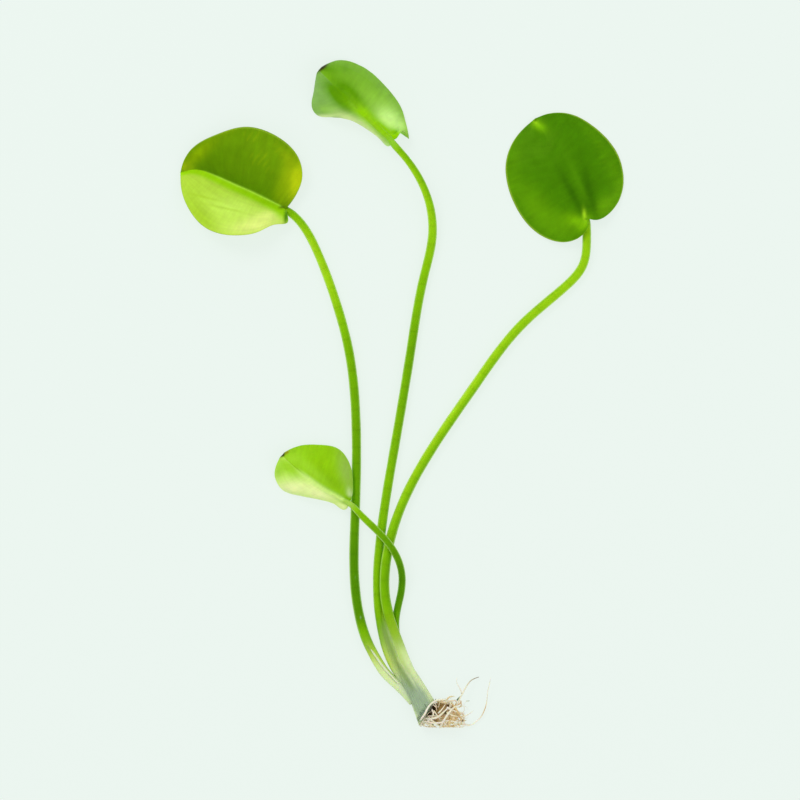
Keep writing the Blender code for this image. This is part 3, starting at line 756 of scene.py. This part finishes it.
def stalk(side, material):
    """A petiole that runs on along the blade as its midrib."""
    petiole = PETIOLES[side]
    ridge, ridge_radii = ridge_route(LEAVES[side])
    route = np.array([point[:3] for point in petiole["route"]] + ridge)
    radii = [point[3] for point in petiole["route"]] + ridge_radii
    steps = np.linalg.norm(np.diff(route, axis=0), axis=1)
    points = smooth_curve(route, round(steps.sum() / STALK_STEP))
    run = np.concatenate(([0.0], np.cumsum(np.linalg.norm(np.diff(points, axis=0), axis=1))))
    knots = np.concatenate(([0.0], np.cumsum(steps))) * run[-1] / steps.sum()
    radius = smooth_line(np.interp(run, knots, radii), 4)
    turns = np.linspace(0.0, 2.0 * math.pi, STALK_SIDES, endpoint=False)
    flutes = 1.0 + 0.012 * np.cos(7.0 * turns)[None, :] + 0.010 * np.sin(0.35 * run)[:, None]
    points[:, 2] = np.maximum(points[:, 2], radius * 1.02)
    verts, faces, places = tube_mesh(points, radius, radius, STALK_SIDES, flutes=flutes)
    on_blade = smoothstep(-3.0, 2.0, run - knots[len(petiole["route"]) - 1])
    skin = verts[:-2].reshape(len(points), STALK_SIDES, 3)
    tint = stalk_tint(petiole["shade"], points, turns, run, on_blade)
    into_base = smoothstep(*petiole["fade"], crown_distance(skin))[..., None]
    tint = tint * (1.0 - into_base) + base_tint(skin) * into_base
    share = on_blade[:, None, None]
    tint = tint * (1.0 - share) + midrib_tint(side, points)[:, None] * share
    tints = np.concatenate([tint.reshape(-1, 3), tint[[0, -1], 0]])
    ob = make_object("stalk_" + side, verts, faces, tints, places, material)
    close_mesh(ob)
    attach(ob, "root")
    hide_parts("petiole_" + side)


def smooth_line(values, reach):
    """The values, each averaged with its neighbours up to the given number of places away."""
    padded = np.pad(values, reach, mode="edge")
    return np.convolve(padded, np.ones(2 * reach + 1) / (2 * reach + 1), mode="valid")


def stalk_tint(shades, points, turns, run, on_blade):
    """Greens around and along a petiole, painted darker towards its right side, with painted rim light on
    its flanks, faint cross walls and a few white specks.
    """
    heights, middles, slopes = np.array(shades).T
    middle = smooth_line(np.interp(points[:, 1], heights, middles), 6)
    slope = smooth_line(np.interp(points[:, 1], heights, slopes), 6)
    sideways = np.sin(turns)[None, :]
    # Painted shade: darker towards the right side of each petiole
    shade = middle[:, None] + slope[:, None] * sideways
    tint = colour_line(STALK_GREENS, range(len(STALK_GREENS)), shade)
    bundled = smoothstep(-34.0, -22.0, crown_distance(points))
    bundled = bundled * smoothstep(-11.0, -7.0, crown_aside(points))
    keep = (1.0 - on_blade) * (1.0 - 0.6 * bundled)
    # Painted rim light along both flanks
    tint = mix(tint, "stalk rim light", 0.65 * smoothstep(0.62, 1.0, np.abs(sideways)) * keep[:, None])
    wall = np.mod(run + 1.5 * np.sin(run / 9.0), SEPTUM_SPACING) - 0.5 * SEPTUM_SPACING
    tint = tint * (1.0 - 0.10 * np.exp(-(wall / 0.45) ** 2) * (1.0 - on_blade))[:, None, None]
    for speck in SPECKS:
        gap = np.linalg.norm(points[:, :2] - speck, axis=1)[:, None] + np.abs(sideways - 0.2) * 2.0
        tint = mix(tint, "white", 0.9 * np.exp(-(gap / 0.55) ** 2) * (np.cos(turns) > 0.0))
    return tint


# Centre line of the crown, with its radius at evenly spaced places and its height as a share of the width
CROWN_AXIS = (
    (-1.0, -118.0, 4.4), (2.2, -125.3, 4.7), (6.6, -133.4, 4.9), (11.3, -143.0, 5.2), (15.5, -152.0, 5.4),
)
CROWN_RADII = (2.0, 3.9, 4.5, 5.5, 6.0)
CROWN_FLATNESS = 0.92
CROWN_POINTS = 90
CROWN_SIDES = 96
# The break at the foot of the crown, and how ragged it is
BREAK_POINT = np.array([11.3, -143.0, 5.0])
BREAK_NORMAL = unit(np.array([0.84, -0.54, 0.0]))
BREAK_RAG = 0.25


def crown_shape():
    """Centre line of the crown, its radius, and the ridges around it."""
    points = smooth_curve(CROWN_AXIS, CROWN_POINTS)
    turns = np.linspace(0.0, 2.0 * math.pi, CROWN_SIDES, endpoint=False)
    lobes = 1.0 + 0.05 * np.cos(3.0 * turns + 0.6)[None, :] * np.linspace(1.0, 0.2, CROWN_POINTS)[:, None]
    fibres = 0.012 * np.sin(23.0 * turns + 1.0)[None, :] + 0.008 * np.sin(41.0 * turns)[None, :]
    return points, spread(CROWN_RADII, CROWN_POINTS), lobes + fibres


def crown(material):
    """The crown with lengthwise ridges, cut off at a ragged slant."""
    points, radius, flutes = crown_shape()
    verts, faces, places = tube_mesh(points, radius, radius * CROWN_FLATNESS, CROWN_SIDES, flutes=flutes)
    axis = unit(points[-1] - points[-20])
    beyond = (verts - BREAK_POINT) @ BREAK_NORMAL
    rag = BREAK_RAG * ripple(verts, 0.9, 5.0)
    push = np.clip(beyond - rag, 0.0, None) / (axis @ BREAK_NORMAL)
    verts = verts - push[:, None] * axis
    tint = mix(base_tint(verts), "root brown", 0.6 * smoothstep(0.05, 0.6, beyond))
    ob = make_object("crown_stock", verts, faces, tint, places, material)
    close_mesh(ob)
    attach(ob, "root")
    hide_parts("crown")


# Membranes: the node each stands for, its colour over the crown's, its route, half width and half height
SHEATHS = {
    "sheath_membrane": {
        "replaces": "sheath",
        "colour": None,
        "route": [
            (1.2, -128.0, 5.4), (-2.2, -121.3, 4.6), (-4.4, -115.6, 4.2), (-6.8, -108.0, 3.9),
            (-8.6, -100.1, 3.6), (-9.6, -92.0, 3.2),
        ],
        "width": (1.6, 2.1, 2.1, 1.9, 1.5, 0.3),
        "height": (0.9, 1.0, 1.0, 0.8, 0.5, 0.1),
    },
    "left_membrane": {
        "replaces": None,
        "colour": "slit light",
        "route": [
            (-15.2, -113.4, 4.2), (-13.4, -115.8, 4.6), (-10.6, -119.8, 4.75), (-7.6, -123.8, 4.95),
            (-4.0, -127.7, 5.2), (-1.6, -130.2, 5.4),
        ],
        "width": (0.12, 0.42, 0.5, 0.5, 0.42, 0.35),
        "height": (0.12, 0.25, 0.3, 0.3, 0.3, 0.3),
    },
}
SHEATH_POINTS = 60
SHEATH_SIDES = 24


def sheath(name, material):
    """A thin membrane rolled into a narrow strand that runs out to a point."""
    shape = SHEATHS[name]
    points = smooth_curve(shape["route"], SHEATH_POINTS)
    width = spread(shape["width"], SHEATH_POINTS)
    height = spread(shape["height"], SHEATH_POINTS)
    verts, faces, places = tube_mesh(points, width, height, SHEATH_SIDES)
    tint = base_tint(verts)
    if shape["colour"]:
        tint = mix(tint, shape["colour"], np.full(len(verts), 0.8))
    ob = make_object(name, verts, faces, tint, places, material)
    close_mesh(ob)
    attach(ob, "root")
    if shape["replaces"]:
        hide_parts(shape["replaces"])


BRISTLES = 70
# First and last of the lines along the crown that bristles lie on, counted around it from the top
BRISTLE_LINES = (-2, 24)


def bristles(material):
    """Short dark fibres that lie on the crown and end at the break."""
    dice = random.Random(3)
    points, radius, flutes = crown_shape()
    rings = tube_rings(points, radius, radius * CROWN_FLATNESS, CROWN_SIDES, flutes)
    strands = []
    for _ in range(BRISTLES):
        line = rings[:, dice.randint(*BRISTLE_LINES)]
        beyond = (line - BREAK_POINT) @ BREAK_NORMAL
        last = int(np.argmax(beyond > -0.15))
        first = last - dice.randint(4, 8)
        line = line[first:last] + np.array([0.0, 0.0, 0.05])
        strands.append((dice.uniform(0.04, 0.08), ("bristle", "crown dark"), line))
    strand_object("crown_bristles", strands, 5, material)


def strand_object(name, strands, sides, material, replaces=None):
    """One mesh of many tapered strands: each has its radius, its colours along the way and its route."""
    all_verts, all_faces, all_places, all_tints = [], [], [], []
    start = 0
    for radius, names, route in strands:
        count = max(6, round(np.linalg.norm(np.diff(route, axis=0), axis=1).sum() / 0.55))
        points = smooth_curve(route, count)
        along = np.linspace(0.0, 1.0, count)
        width = radius * (0.25 + 0.75 * np.sqrt(1.0 - along)) * (1.0 + 0.10 * np.sin(9.0 * along + start))
        points[:, 2] = np.maximum(points[:, 2], width + 0.02)
        verts, faces, places = tube_mesh(points, width, width, sides, start=start)
        tint = colour_line(names, np.linspace(0.0, 1.0, len(names)), along)
        all_tints += [np.repeat(tint, sides, axis=0), tint[[0, -1]]]
        all_verts.append(verts)
        all_faces += faces
        all_places.append(places)
        start += len(verts)
    verts, tints, places = (np.concatenate(parts) for parts in (all_verts, all_tints, all_places))
    ob = make_object(name, verts, all_faces, tints, places, material)
    close_mesh(ob, weld=False)
    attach(ob, "root")
    if replaces:
        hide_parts(replaces)


# Main roots: radius, the colours along the root, and its route from the stock
MAIN_ROOTS = [
    (0.6, ("root", "root pale", "root"), [
        (7.6, -148.0, 3.6), (8.8, -145.9, 8.6), (10.2, -143.6, 10.4), (11.4, -141.2, 10.6),
        (13.4, -138.8, 9.6), (15.9, -137.5, 8.8), (18.9, -137.4, 8.0), (21.6, -138.4, 6.6),
    ]),
    (0.52, ("root", "root pale", "root"), [
        (8.3, -149.2, 2.6), (11.5, -145.7, 8.2), (14.7, -147.6, 7.4), (16.8, -149.4, 2.0),
    ]),
    (0.4, ("root pale", "root", "root pale"), [
        (11.0, -145.0, 7.4), (14.7, -144.6, 7.8), (17.9, -145.6, 6.4), (18.4, -149.2, 1.4),
    ]),
    (0.34, ("root", "root tan", "root pale"), [
        (17.9, -149.0, 0.9), (22.5, -149.3, 0.8), (26.2, -148.6, 0.7), (29.0, -148.5, 0.5),
    ]),
    (0.48, ("root", "root pale", "root"), [(9.4, -148.8, 3.4), (11.8, -147.0, 8.2), (12.8, -149.2, 3.0)]),
    (0.36, ("root pale", "root", "root"), [(16.2, -143.4, 9.0), (18.2, -141.2, 8.9), (19.4, -139.4, 8.2)]),
    (0.42, ("root pale", "root", "root pale"), [
        (20.0, -140.8, 8.6), (23.0, -142.2, 8.0), (25.6, -143.0, 6.0), (28.0, -143.4, 3.6),
    ]),
    (0.4, ("root", "root pale", "root"), [
        (18.6, -146.6, 8.2), (21.8, -146.9, 7.6), (24.6, -147.2, 5.2), (27.4, -146.2, 2.8),
    ]),
    (0.58, ("root pale", "root", "root pale"), [
        (9.9, -145.8, 5.4), (12.6, -145.8, 8.4), (14.9, -145.5, 9.2), (17.4, -144.0, 9.4),
        (20.2, -141.4, 8.8), (22.2, -140.2, 7.6),
    ]),
    (0.6, ("root", "root pale", "root"), [
        (17.2, -149.9, 4.5), (18.0, -147.8, 8.2), (19.2, -145.8, 9.2), (21.0, -143.2, 9.2),
        (22.8, -141.2, 8.2), (24.8, -140.0, 6.4),
    ]),
    (0.56, ("root", "root pale"), [
        (9.8, -146.2, 5.0), (11.0, -148.0, 6.0), (12.8, -149.3, 4.6), (14.0, -149.9, 2.0),
    ]),
    (0.52, ("root", "root tan"), [(11.2, -147.6, 6.0), (13.0, -148.8, 6.8), (15.2, -149.8, 4.5)]),
    (0.52, ("root", "root pale"), [
        (10.6, -146.8, 6.0), (13.8, -147.8, 8.2), (17.2, -147.6, 8.8), (20.0, -147.2, 8.0),
    ]),
    (0.7, ("root tan", "root"), [(16.0, -137.9, 6.4), (19.6, -138.8, 6.8), (21.6, -139.2, 5.6)]),
    (0.42, ("root tan", "root"), [
        (19.8, -138.0, 4.0), (21.0, -136.4, 3.4), (22.7, -136.0, 2.6), (23.8, -136.0, 2.0),
    ]),
    (0.38, ("crown dark", "crown dark"), [(24.6, -137.8, 3.2), (26.0, -136.0, 3.0)]),
    (0.38, ("root", "root", "root plum"), [
        (25.2, -139.4, 4.0), (25.8, -137.0, 4.6), (27.2, -134.6, 4.8), (28.3, -132.4, 4.2),
        (29.4, -130.7, 3.4), (30.8, -129.0, 2.4), (32.3, -128.1, 1.6), (34.6, -127.3, 1.0),
    ]),
    (0.24, ("root", "root pale"), [
        (26.8, -134.8, 5.0), (25.8, -132.0, 6.0), (24.6, -129.8, 6.6), (24.6, -127.4, 6.8),
    ]),
    (0.3, ("root", "root pale", "root pale", "root amber", "root pale", "root pale", "root pale"), [
        (25.6, -148.8, 2.0), (28.3, -148.7, 1.6), (30.8, -148.9, 1.2), (33.6, -147.1, 1.0),
        (35.0, -145.8, 1.0), (36.4, -143.6, 1.2), (37.1, -141.9, 1.4), (37.6, -140.4, 1.6),
        (38.2, -136.8, 2.2), (38.6, -133.0, 2.8), (39.3, -130.2, 3.4), (39.7, -127.4, 4.0),
    ]),
    (0.62, ("root amber", "root tan"), [(18.2, -149.4, 1.2), (21.0, -149.5, 1.4), (23.6, -149.5, 1.0)]),
    (0.28, ("root", "root pale"), [
        (26.0, -146.0, 3.4), (28.3, -144.8, 3.6), (30.8, -143.4, 3.0), (31.9, -142.4, 2.4),
    ]),
    (0.28, ("root brown", "root tan"), [(26.6, -147.2, 2.2), (28.9, -146.8, 1.4)]),
    (0.26, ("root", "crown dark"), [(28.8, -138.2, 2.4), (30.3, -138.0, 1.8)]),
    (0.45, ("root", "root tan"), [
        (20.0, -143.0, 8.2), (22.6, -144.4, 8.2), (25.0, -145.0, 6.4), (27.0, -146.4, 4.0),
    ]),
    (0.36, ("root", "root pale"), [(14.2, -142.4, 8.0), (15.6, -144.2, 8.8), (17.0, -146.2, 8.4)]),
    (0.5, ("root tan", "root amber"), [
        (22.0, -139.0, 6.6), (24.4, -142.0, 7.2), (26.2, -145.6, 5.6), (26.6, -148.4, 2.4),
    ]),
    (0.4, ("root", "root"), [
        (13.2, -141.6, 8.6), (14.0, -143.4, 8.8), (13.0, -146.0, 7.8), (11.4, -148.6, 4.2),
    ]),
]
SIDE_ROOTS = 70
ROOT_HAIRS = 90
TUFT_CENTRE = np.array([18.6, -143.8, 4.2])
TUFT_REACH = np.array([8.8, 5.6, 4.0])
# The roots' own room, and how far a strand turns at each step
TUFT_LOW = (8.0, -149.9, 0.3)
TUFT_HIGH = (40.0, -126.5, 8.9)
STRAND_TURN = (0.7, 0.7, 0.5)


def random_strand(dice, reach, length, points):
    """A curly strand that starts in the tuft and wanders outwards from it."""
    place = np.array([TUFT_CENTRE[k] + TUFT_REACH[k] * dice.uniform(-0.85, 0.85) for k in range(3)])
    heading = unit(place - TUFT_CENTRE + np.array([dice.uniform(-1.5, 3.0), dice.uniform(-2.0, 2.0), 0.0]))
    low = np.maximum(TUFT_CENTRE - TUFT_REACH * reach, TUFT_LOW)
    high = np.minimum(TUFT_CENTRE + TUFT_REACH * reach, TUFT_HIGH)
    line = [place]
    for _ in range(points):
        heading = unit(heading + np.array([dice.uniform(-turn, turn) for turn in STRAND_TURN]))
        place = np.clip(place + heading * length / points, low, high)
        past_break = (place - BREAK_POINT) @ BREAK_NORMAL
        place = place + BREAK_NORMAL * max(0.0, 0.2 - past_break)
        line.append(place)
    return np.array(line)


def roots(material):
    """The main roots, the finer side roots between them, and root hairs."""
    strand_object("main_roots", MAIN_ROOTS, 12, material, "roots")
    dice = random.Random(11)
    shades = ("root", "root pale", "root", "root tan", "root amber")
    strands = []
    for _ in range(SIDE_ROOTS):
        line = random_strand(dice, 1.05, dice.uniform(4.0, 11.0), 6)
        strands.append((dice.uniform(0.14, 0.36), (dice.choice(shades), dice.choice(shades)), line))
    strand_object("side_roots", strands, 8, material)
    strands = []
    for _ in range(ROOT_HAIRS):
        line = random_strand(dice, 1.25, dice.uniform(3.0, 8.0), 5)
        strands.append((dice.uniform(0.05, 0.10), ("root", "root pale"), line))
    strand_object("root_hairs", strands, 5, material)


# Core of the tuft
STOCK_CENTRE = np.array([18.2, -143.8, 3.9])
STOCK_SIZE = np.array([6.8, 5.3, 3.5])
# Painted shade in the gaps between the roots: colour, plan position and size
SHADED_HOLLOWS = (
    ("root hollow shade", 17.2, -141.2, 3.4), ("root hollow shade", 14.2, -146.6, 2.2),
    ("root brown", 14.4, -141.2, 1.7), ("root brown", 20.8, -140.2, 0.9), ("root brown", 19.3, -143.2, 0.8),
    ("root brown", 12.3, -144.2, 1.2), ("root brown", 15.0, -144.4, 0.8), ("root brown", 13.9, -146.8, 0.7),
)


def root_stock(material):
    """The brown core of the tuft, knobbly, with painted shade in the gaps between the roots beside the
    break.
    """
    shape = bmesh.new()
    bmesh.ops.create_icosphere(shape, subdivisions=5, radius=1.0)
    places = np.array([vertex.co for vertex in shape.verts])
    faces = [[vertex.index for vertex in face.verts] for face in shape.faces]
    shape.free()
    knobs = 1.0 + 0.16 * ripple(places * 4.0, 2.2, 7.0) + 0.07 * ripple(places * 4.0, 0.8, 8.0)
    verts = STOCK_CENTRE + places * STOCK_SIZE * knobs[:, None]
    past = (verts - BREAK_POINT) @ BREAK_NORMAL
    verts += BREAK_NORMAL * np.clip(0.1 - past, 0.0, None)[:, None]
    tint = np.broadcast_to(linear("root tan"), verts.shape).copy()
    tint = mix(tint, "root amber", smoothstep(0.0, 0.5, ripple(verts, 2.5, 3.0)))
    tint = mix(tint, "root", 0.8 * smoothstep(0.05, 0.4, ripple(verts, 1.3, 9.0)))
    # Painted shade in the gaps between the roots
    for name, x, y, size in SHADED_HOLLOWS:
        tint = mix(tint, name, 1.2 * np.exp(-((verts[:, 0] - x) ** 2 + (verts[:, 1] - y) ** 2) / size**2))
    ob = make_object("root_core", verts, faces, tint, np.zeros((len(verts), 2)), material)
    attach(ob, "root")


# Depth of the bump in metres, and how far red, green and blue light reach inside
BUMP_DEPTH = 0.0002
GLOW_REACH = (0.6, 1.0, 0.25)


def nodes_of(name):
    """A new material with its node tree and its Principled shader."""
    material = bpy.data.materials.new(name)
    material.use_nodes = True
    return material, material.node_tree, material.node_tree.nodes["Principled BSDF"]


def node(tree, kind, inputs, output, **settings):
    """An output of a new node, whose inputs are set to values or joined to the outputs of others."""
    made = tree.nodes.new(kind)
    for key, value in settings.items():
        setattr(made, key, value)
    for key, value in inputs.items():
        if isinstance(value, bpy.types.NodeSocket):
            tree.links.new(value, made.inputs[key])
        else:
            made.inputs[key].default_value = value
    return made.outputs[output]


def grain(tree, vector, scale, detail, roughness):
    """Noise between 0 and 1 along a vector."""
    inputs = {"Vector": vector, "Scale": scale, "Detail": detail, "Roughness": roughness}
    return node(tree, "ShaderNodeTexNoise", inputs, "Fac")


def varied(tree, value, reach, middle, change):
    """The noise, where it lies within its reach of one half, as a number near the given middle."""
    return node(tree, "ShaderNodeMapRange", {
        "Value": value, "From Min": 0.5 - reach, "From Max": 0.5 + reach,
        "To Min": middle - change, "To Max": middle + change,
    }, "Result")


def tinted_material(name, look):
    """A material whose ground colour is the mesh's own, with fine streaks, mottling, gloss and bump."""
    material, tree, shader = nodes_of(name)
    tint = node(tree, "ShaderNodeAttribute", {}, "Color", attribute_name="tint")
    pattern = node(tree, "ShaderNodeUVMap", {}, "UV", uv_map="pattern")
    place = node(tree, "ShaderNodeTexCoord", {}, "Object")
    along = node(tree, "ShaderNodeMapping", {"Vector": pattern, "Scale": look["streak_scale"]}, "Vector")
    streaks = grain(tree, along, 1.0, 3.0, 0.6)
    mottle = grain(tree, place, look["mottle_scale"], 4.0, 0.6)
    fine = grain(tree, place, look["grain_scale"], 2.0, 0.5)
    share = node(tree, "ShaderNodeMath", {
        0: varied(tree, streaks, 0.15, 1.0, look["streak"]),
        1: varied(tree, mottle, 0.2, 1.0, look["mottle"]),
    }, "Value", operation="MULTIPLY")
    colour = node(tree, "ShaderNodeVectorMath", {0: tint, "Scale": share}, "Vector", operation="SCALE")
    height = node(tree, "ShaderNodeMath", {0: fine, 1: streaks}, "Value", operation="ADD")
    inputs = {"Strength": look["bump"], "Distance": BUMP_DEPTH, "Height": height}
    bump = node(tree, "ShaderNodeBump", inputs, "Normal")
    tree.links.new(colour, shader.inputs["Base Color"])
    tree.links.new(bump, shader.inputs["Normal"])
    tree.links.new(varied(tree, mottle, 0.2, look["roughness"], 0.06), shader.inputs["Roughness"])
    for socket, value in (
        ("Subsurface Weight", look["subsurface"]), ("Subsurface Radius", GLOW_REACH),
        ("Subsurface Scale", look["depth"]), ("Specular IOR Level", look["specular"]),
        ("Specular Tint", (*look["glint"], 1.0)),
    ):
        shader.inputs[socket].default_value = value
    return material


# Skins: scales of the streaks, mottling and grain with their strengths, and the gloss and inner glow
LOOKS = {
    "leaf_gloss": {
        "streak_scale": (3.0, 60.0, 1.0), "streak": 0.03, "mottle_scale": 260.0, "mottle": 0.05,
        "grain_scale": 4000.0, "bump": 0.35, "roughness": 0.36, "subsurface": 0.12, "depth": 0.001,
        "specular": 0.30, "glint": (0.6, 1.0, 0.05),
    },
    "leaf_satin": {
        "streak_scale": (4.0, 50.0, 1.0), "streak": 0.03, "mottle_scale": 240.0, "mottle": 0.05,
        "grain_scale": 3600.0, "bump": 0.30, "roughness": 0.45, "subsurface": 0.15, "depth": 0.001,
        "specular": 0.25, "glint": (0.7, 1.0, 0.05),
    },
    "stalk_skin": {
        "streak_scale": (26.0, 3.0, 1.0), "streak": 0.06, "mottle_scale": 220.0, "mottle": 0.06,
        "grain_scale": 3000.0, "bump": 0.25, "roughness": 0.34, "subsurface": 0.30, "depth": 0.0018,
        "specular": 0.30, "glint": (0.7, 1.0, 0.05),
    },
    "crown_fibre": {
        "streak_scale": (30.0, 1.6, 1.0), "streak": 0.10, "mottle_scale": 300.0, "mottle": 0.07,
        "grain_scale": 2600.0, "bump": 0.50, "roughness": 0.50, "subsurface": 0.20, "depth": 0.0015,
        "specular": 0.25, "glint": (0.9, 1.0, 0.8),
    },
    "membrane_skin": {
        "streak_scale": (14.0, 2.0, 1.0), "streak": 0.06, "mottle_scale": 300.0, "mottle": 0.05,
        "grain_scale": 2600.0, "bump": 0.30, "roughness": 0.40, "subsurface": 0.35, "depth": 0.0015,
        "specular": 0.25, "glint": (0.7, 1.0, 0.2),
    },
    "root_fibre": {
        "streak_scale": (8.0, 30.0, 1.0), "streak": 0.10, "mottle_scale": 420.0, "mottle": 0.10,
        "grain_scale": 2600.0, "bump": 0.50, "roughness": 0.60, "subsurface": 0.20, "depth": 0.0010,
        "specular": 0.20, "glint": (1.0, 0.9, 0.7),
    },
}


# Width and centre of the view in metres
VIEW_WIDTH = 0.360
VIEW_CENTRE = (-0.00099, -0.0027)
CAMERA_HEIGHT = 5.0
FLOOR_SIZE = 8.0
# How much of the floor's colour it reflects, and how brightly it glows by itself
FLOOR_SHARE = 0.16
FLOOR_GLOW = 0.85
WORLD_LIGHT = 0.70
# Lamps: name, place, diameter and watts
LAMPS = (
    ("key", (-0.9, 1.1, 1.7), 1.0, 14.0),
    ("fill", (1.2, -0.6, 1.5), 1.4, 5.0),
)


def studio():
    """A pale floor, soft light from all round with a gentle key, and the camera straight above."""
    scene = bpy.context.scene
    scene.view_settings.view_transform = "Standard"
    scene.view_settings.look = "None"
    world = bpy.data.worlds.new("soft_light")
    scene.world = world
    world.use_nodes = True
    background = world.node_tree.nodes["Background"]
    background.inputs["Color"].default_value = (*linear("white"), 1.0)
    background.inputs["Strength"].default_value = WORLD_LIGHT

    bpy.ops.mesh.primitive_plane_add(size=FLOOR_SIZE, location=(0.0, 0.0, -0.0001))
    floor = bpy.context.active_object
    floor.name = "floor"
    material, _, shader = nodes_of("pale_floor")
    colour = linear("floor")
    shader.inputs["Base Color"].default_value = (*(colour * FLOOR_SHARE), 1.0)
    shader.inputs["Emission Color"].default_value = (*colour, 1.0)
    shader.inputs["Emission Strength"].default_value = FLOOR_GLOW
    shader.inputs["Roughness"].default_value = 1.0
    shader.inputs["Specular IOR Level"].default_value = 0.0
    floor.data.materials.append(material)

    for name, place, size, watts in LAMPS:
        data = bpy.data.lights.new(name, "AREA")
        data.shape = "DISK"
        data.size = size
        data.energy = watts
        lamp = bpy.data.objects.new(name, data)
        lamp.location = place
        lamp.rotation_euler = (-Vector(place)).to_track_quat("-Z", "Y").to_euler()
        scene.collection.objects.link(lamp)

    data = bpy.data.cameras.new("camera")
    data.sensor_width = 36.0
    data.lens = data.sensor_width * CAMERA_HEIGHT / VIEW_WIDTH
    data.clip_end = 100.0
    camera = bpy.data.objects.new("camera", data)
    camera.location = (*VIEW_CENTRE, CAMERA_HEIGHT)
    scene.collection.objects.link(camera)
    scene.camera = camera


skins = {name: tinted_material(name, look) for name, look in LOOKS.items()}
for side, leaf in LEAVES.items():
    blade(side, skins["leaf_satin" if leaf["face_down"] else "leaf_gloss"])
    stalk(side, skins["stalk_skin"])
crown(skins["crown_fibre"])
bristles(skins["crown_fibre"])
for name in SHEATHS:
    sheath(name, skins["membrane_skin"])
root_stock(skins["root_fibre"])
roots(skins["root_fibre"])
studio()
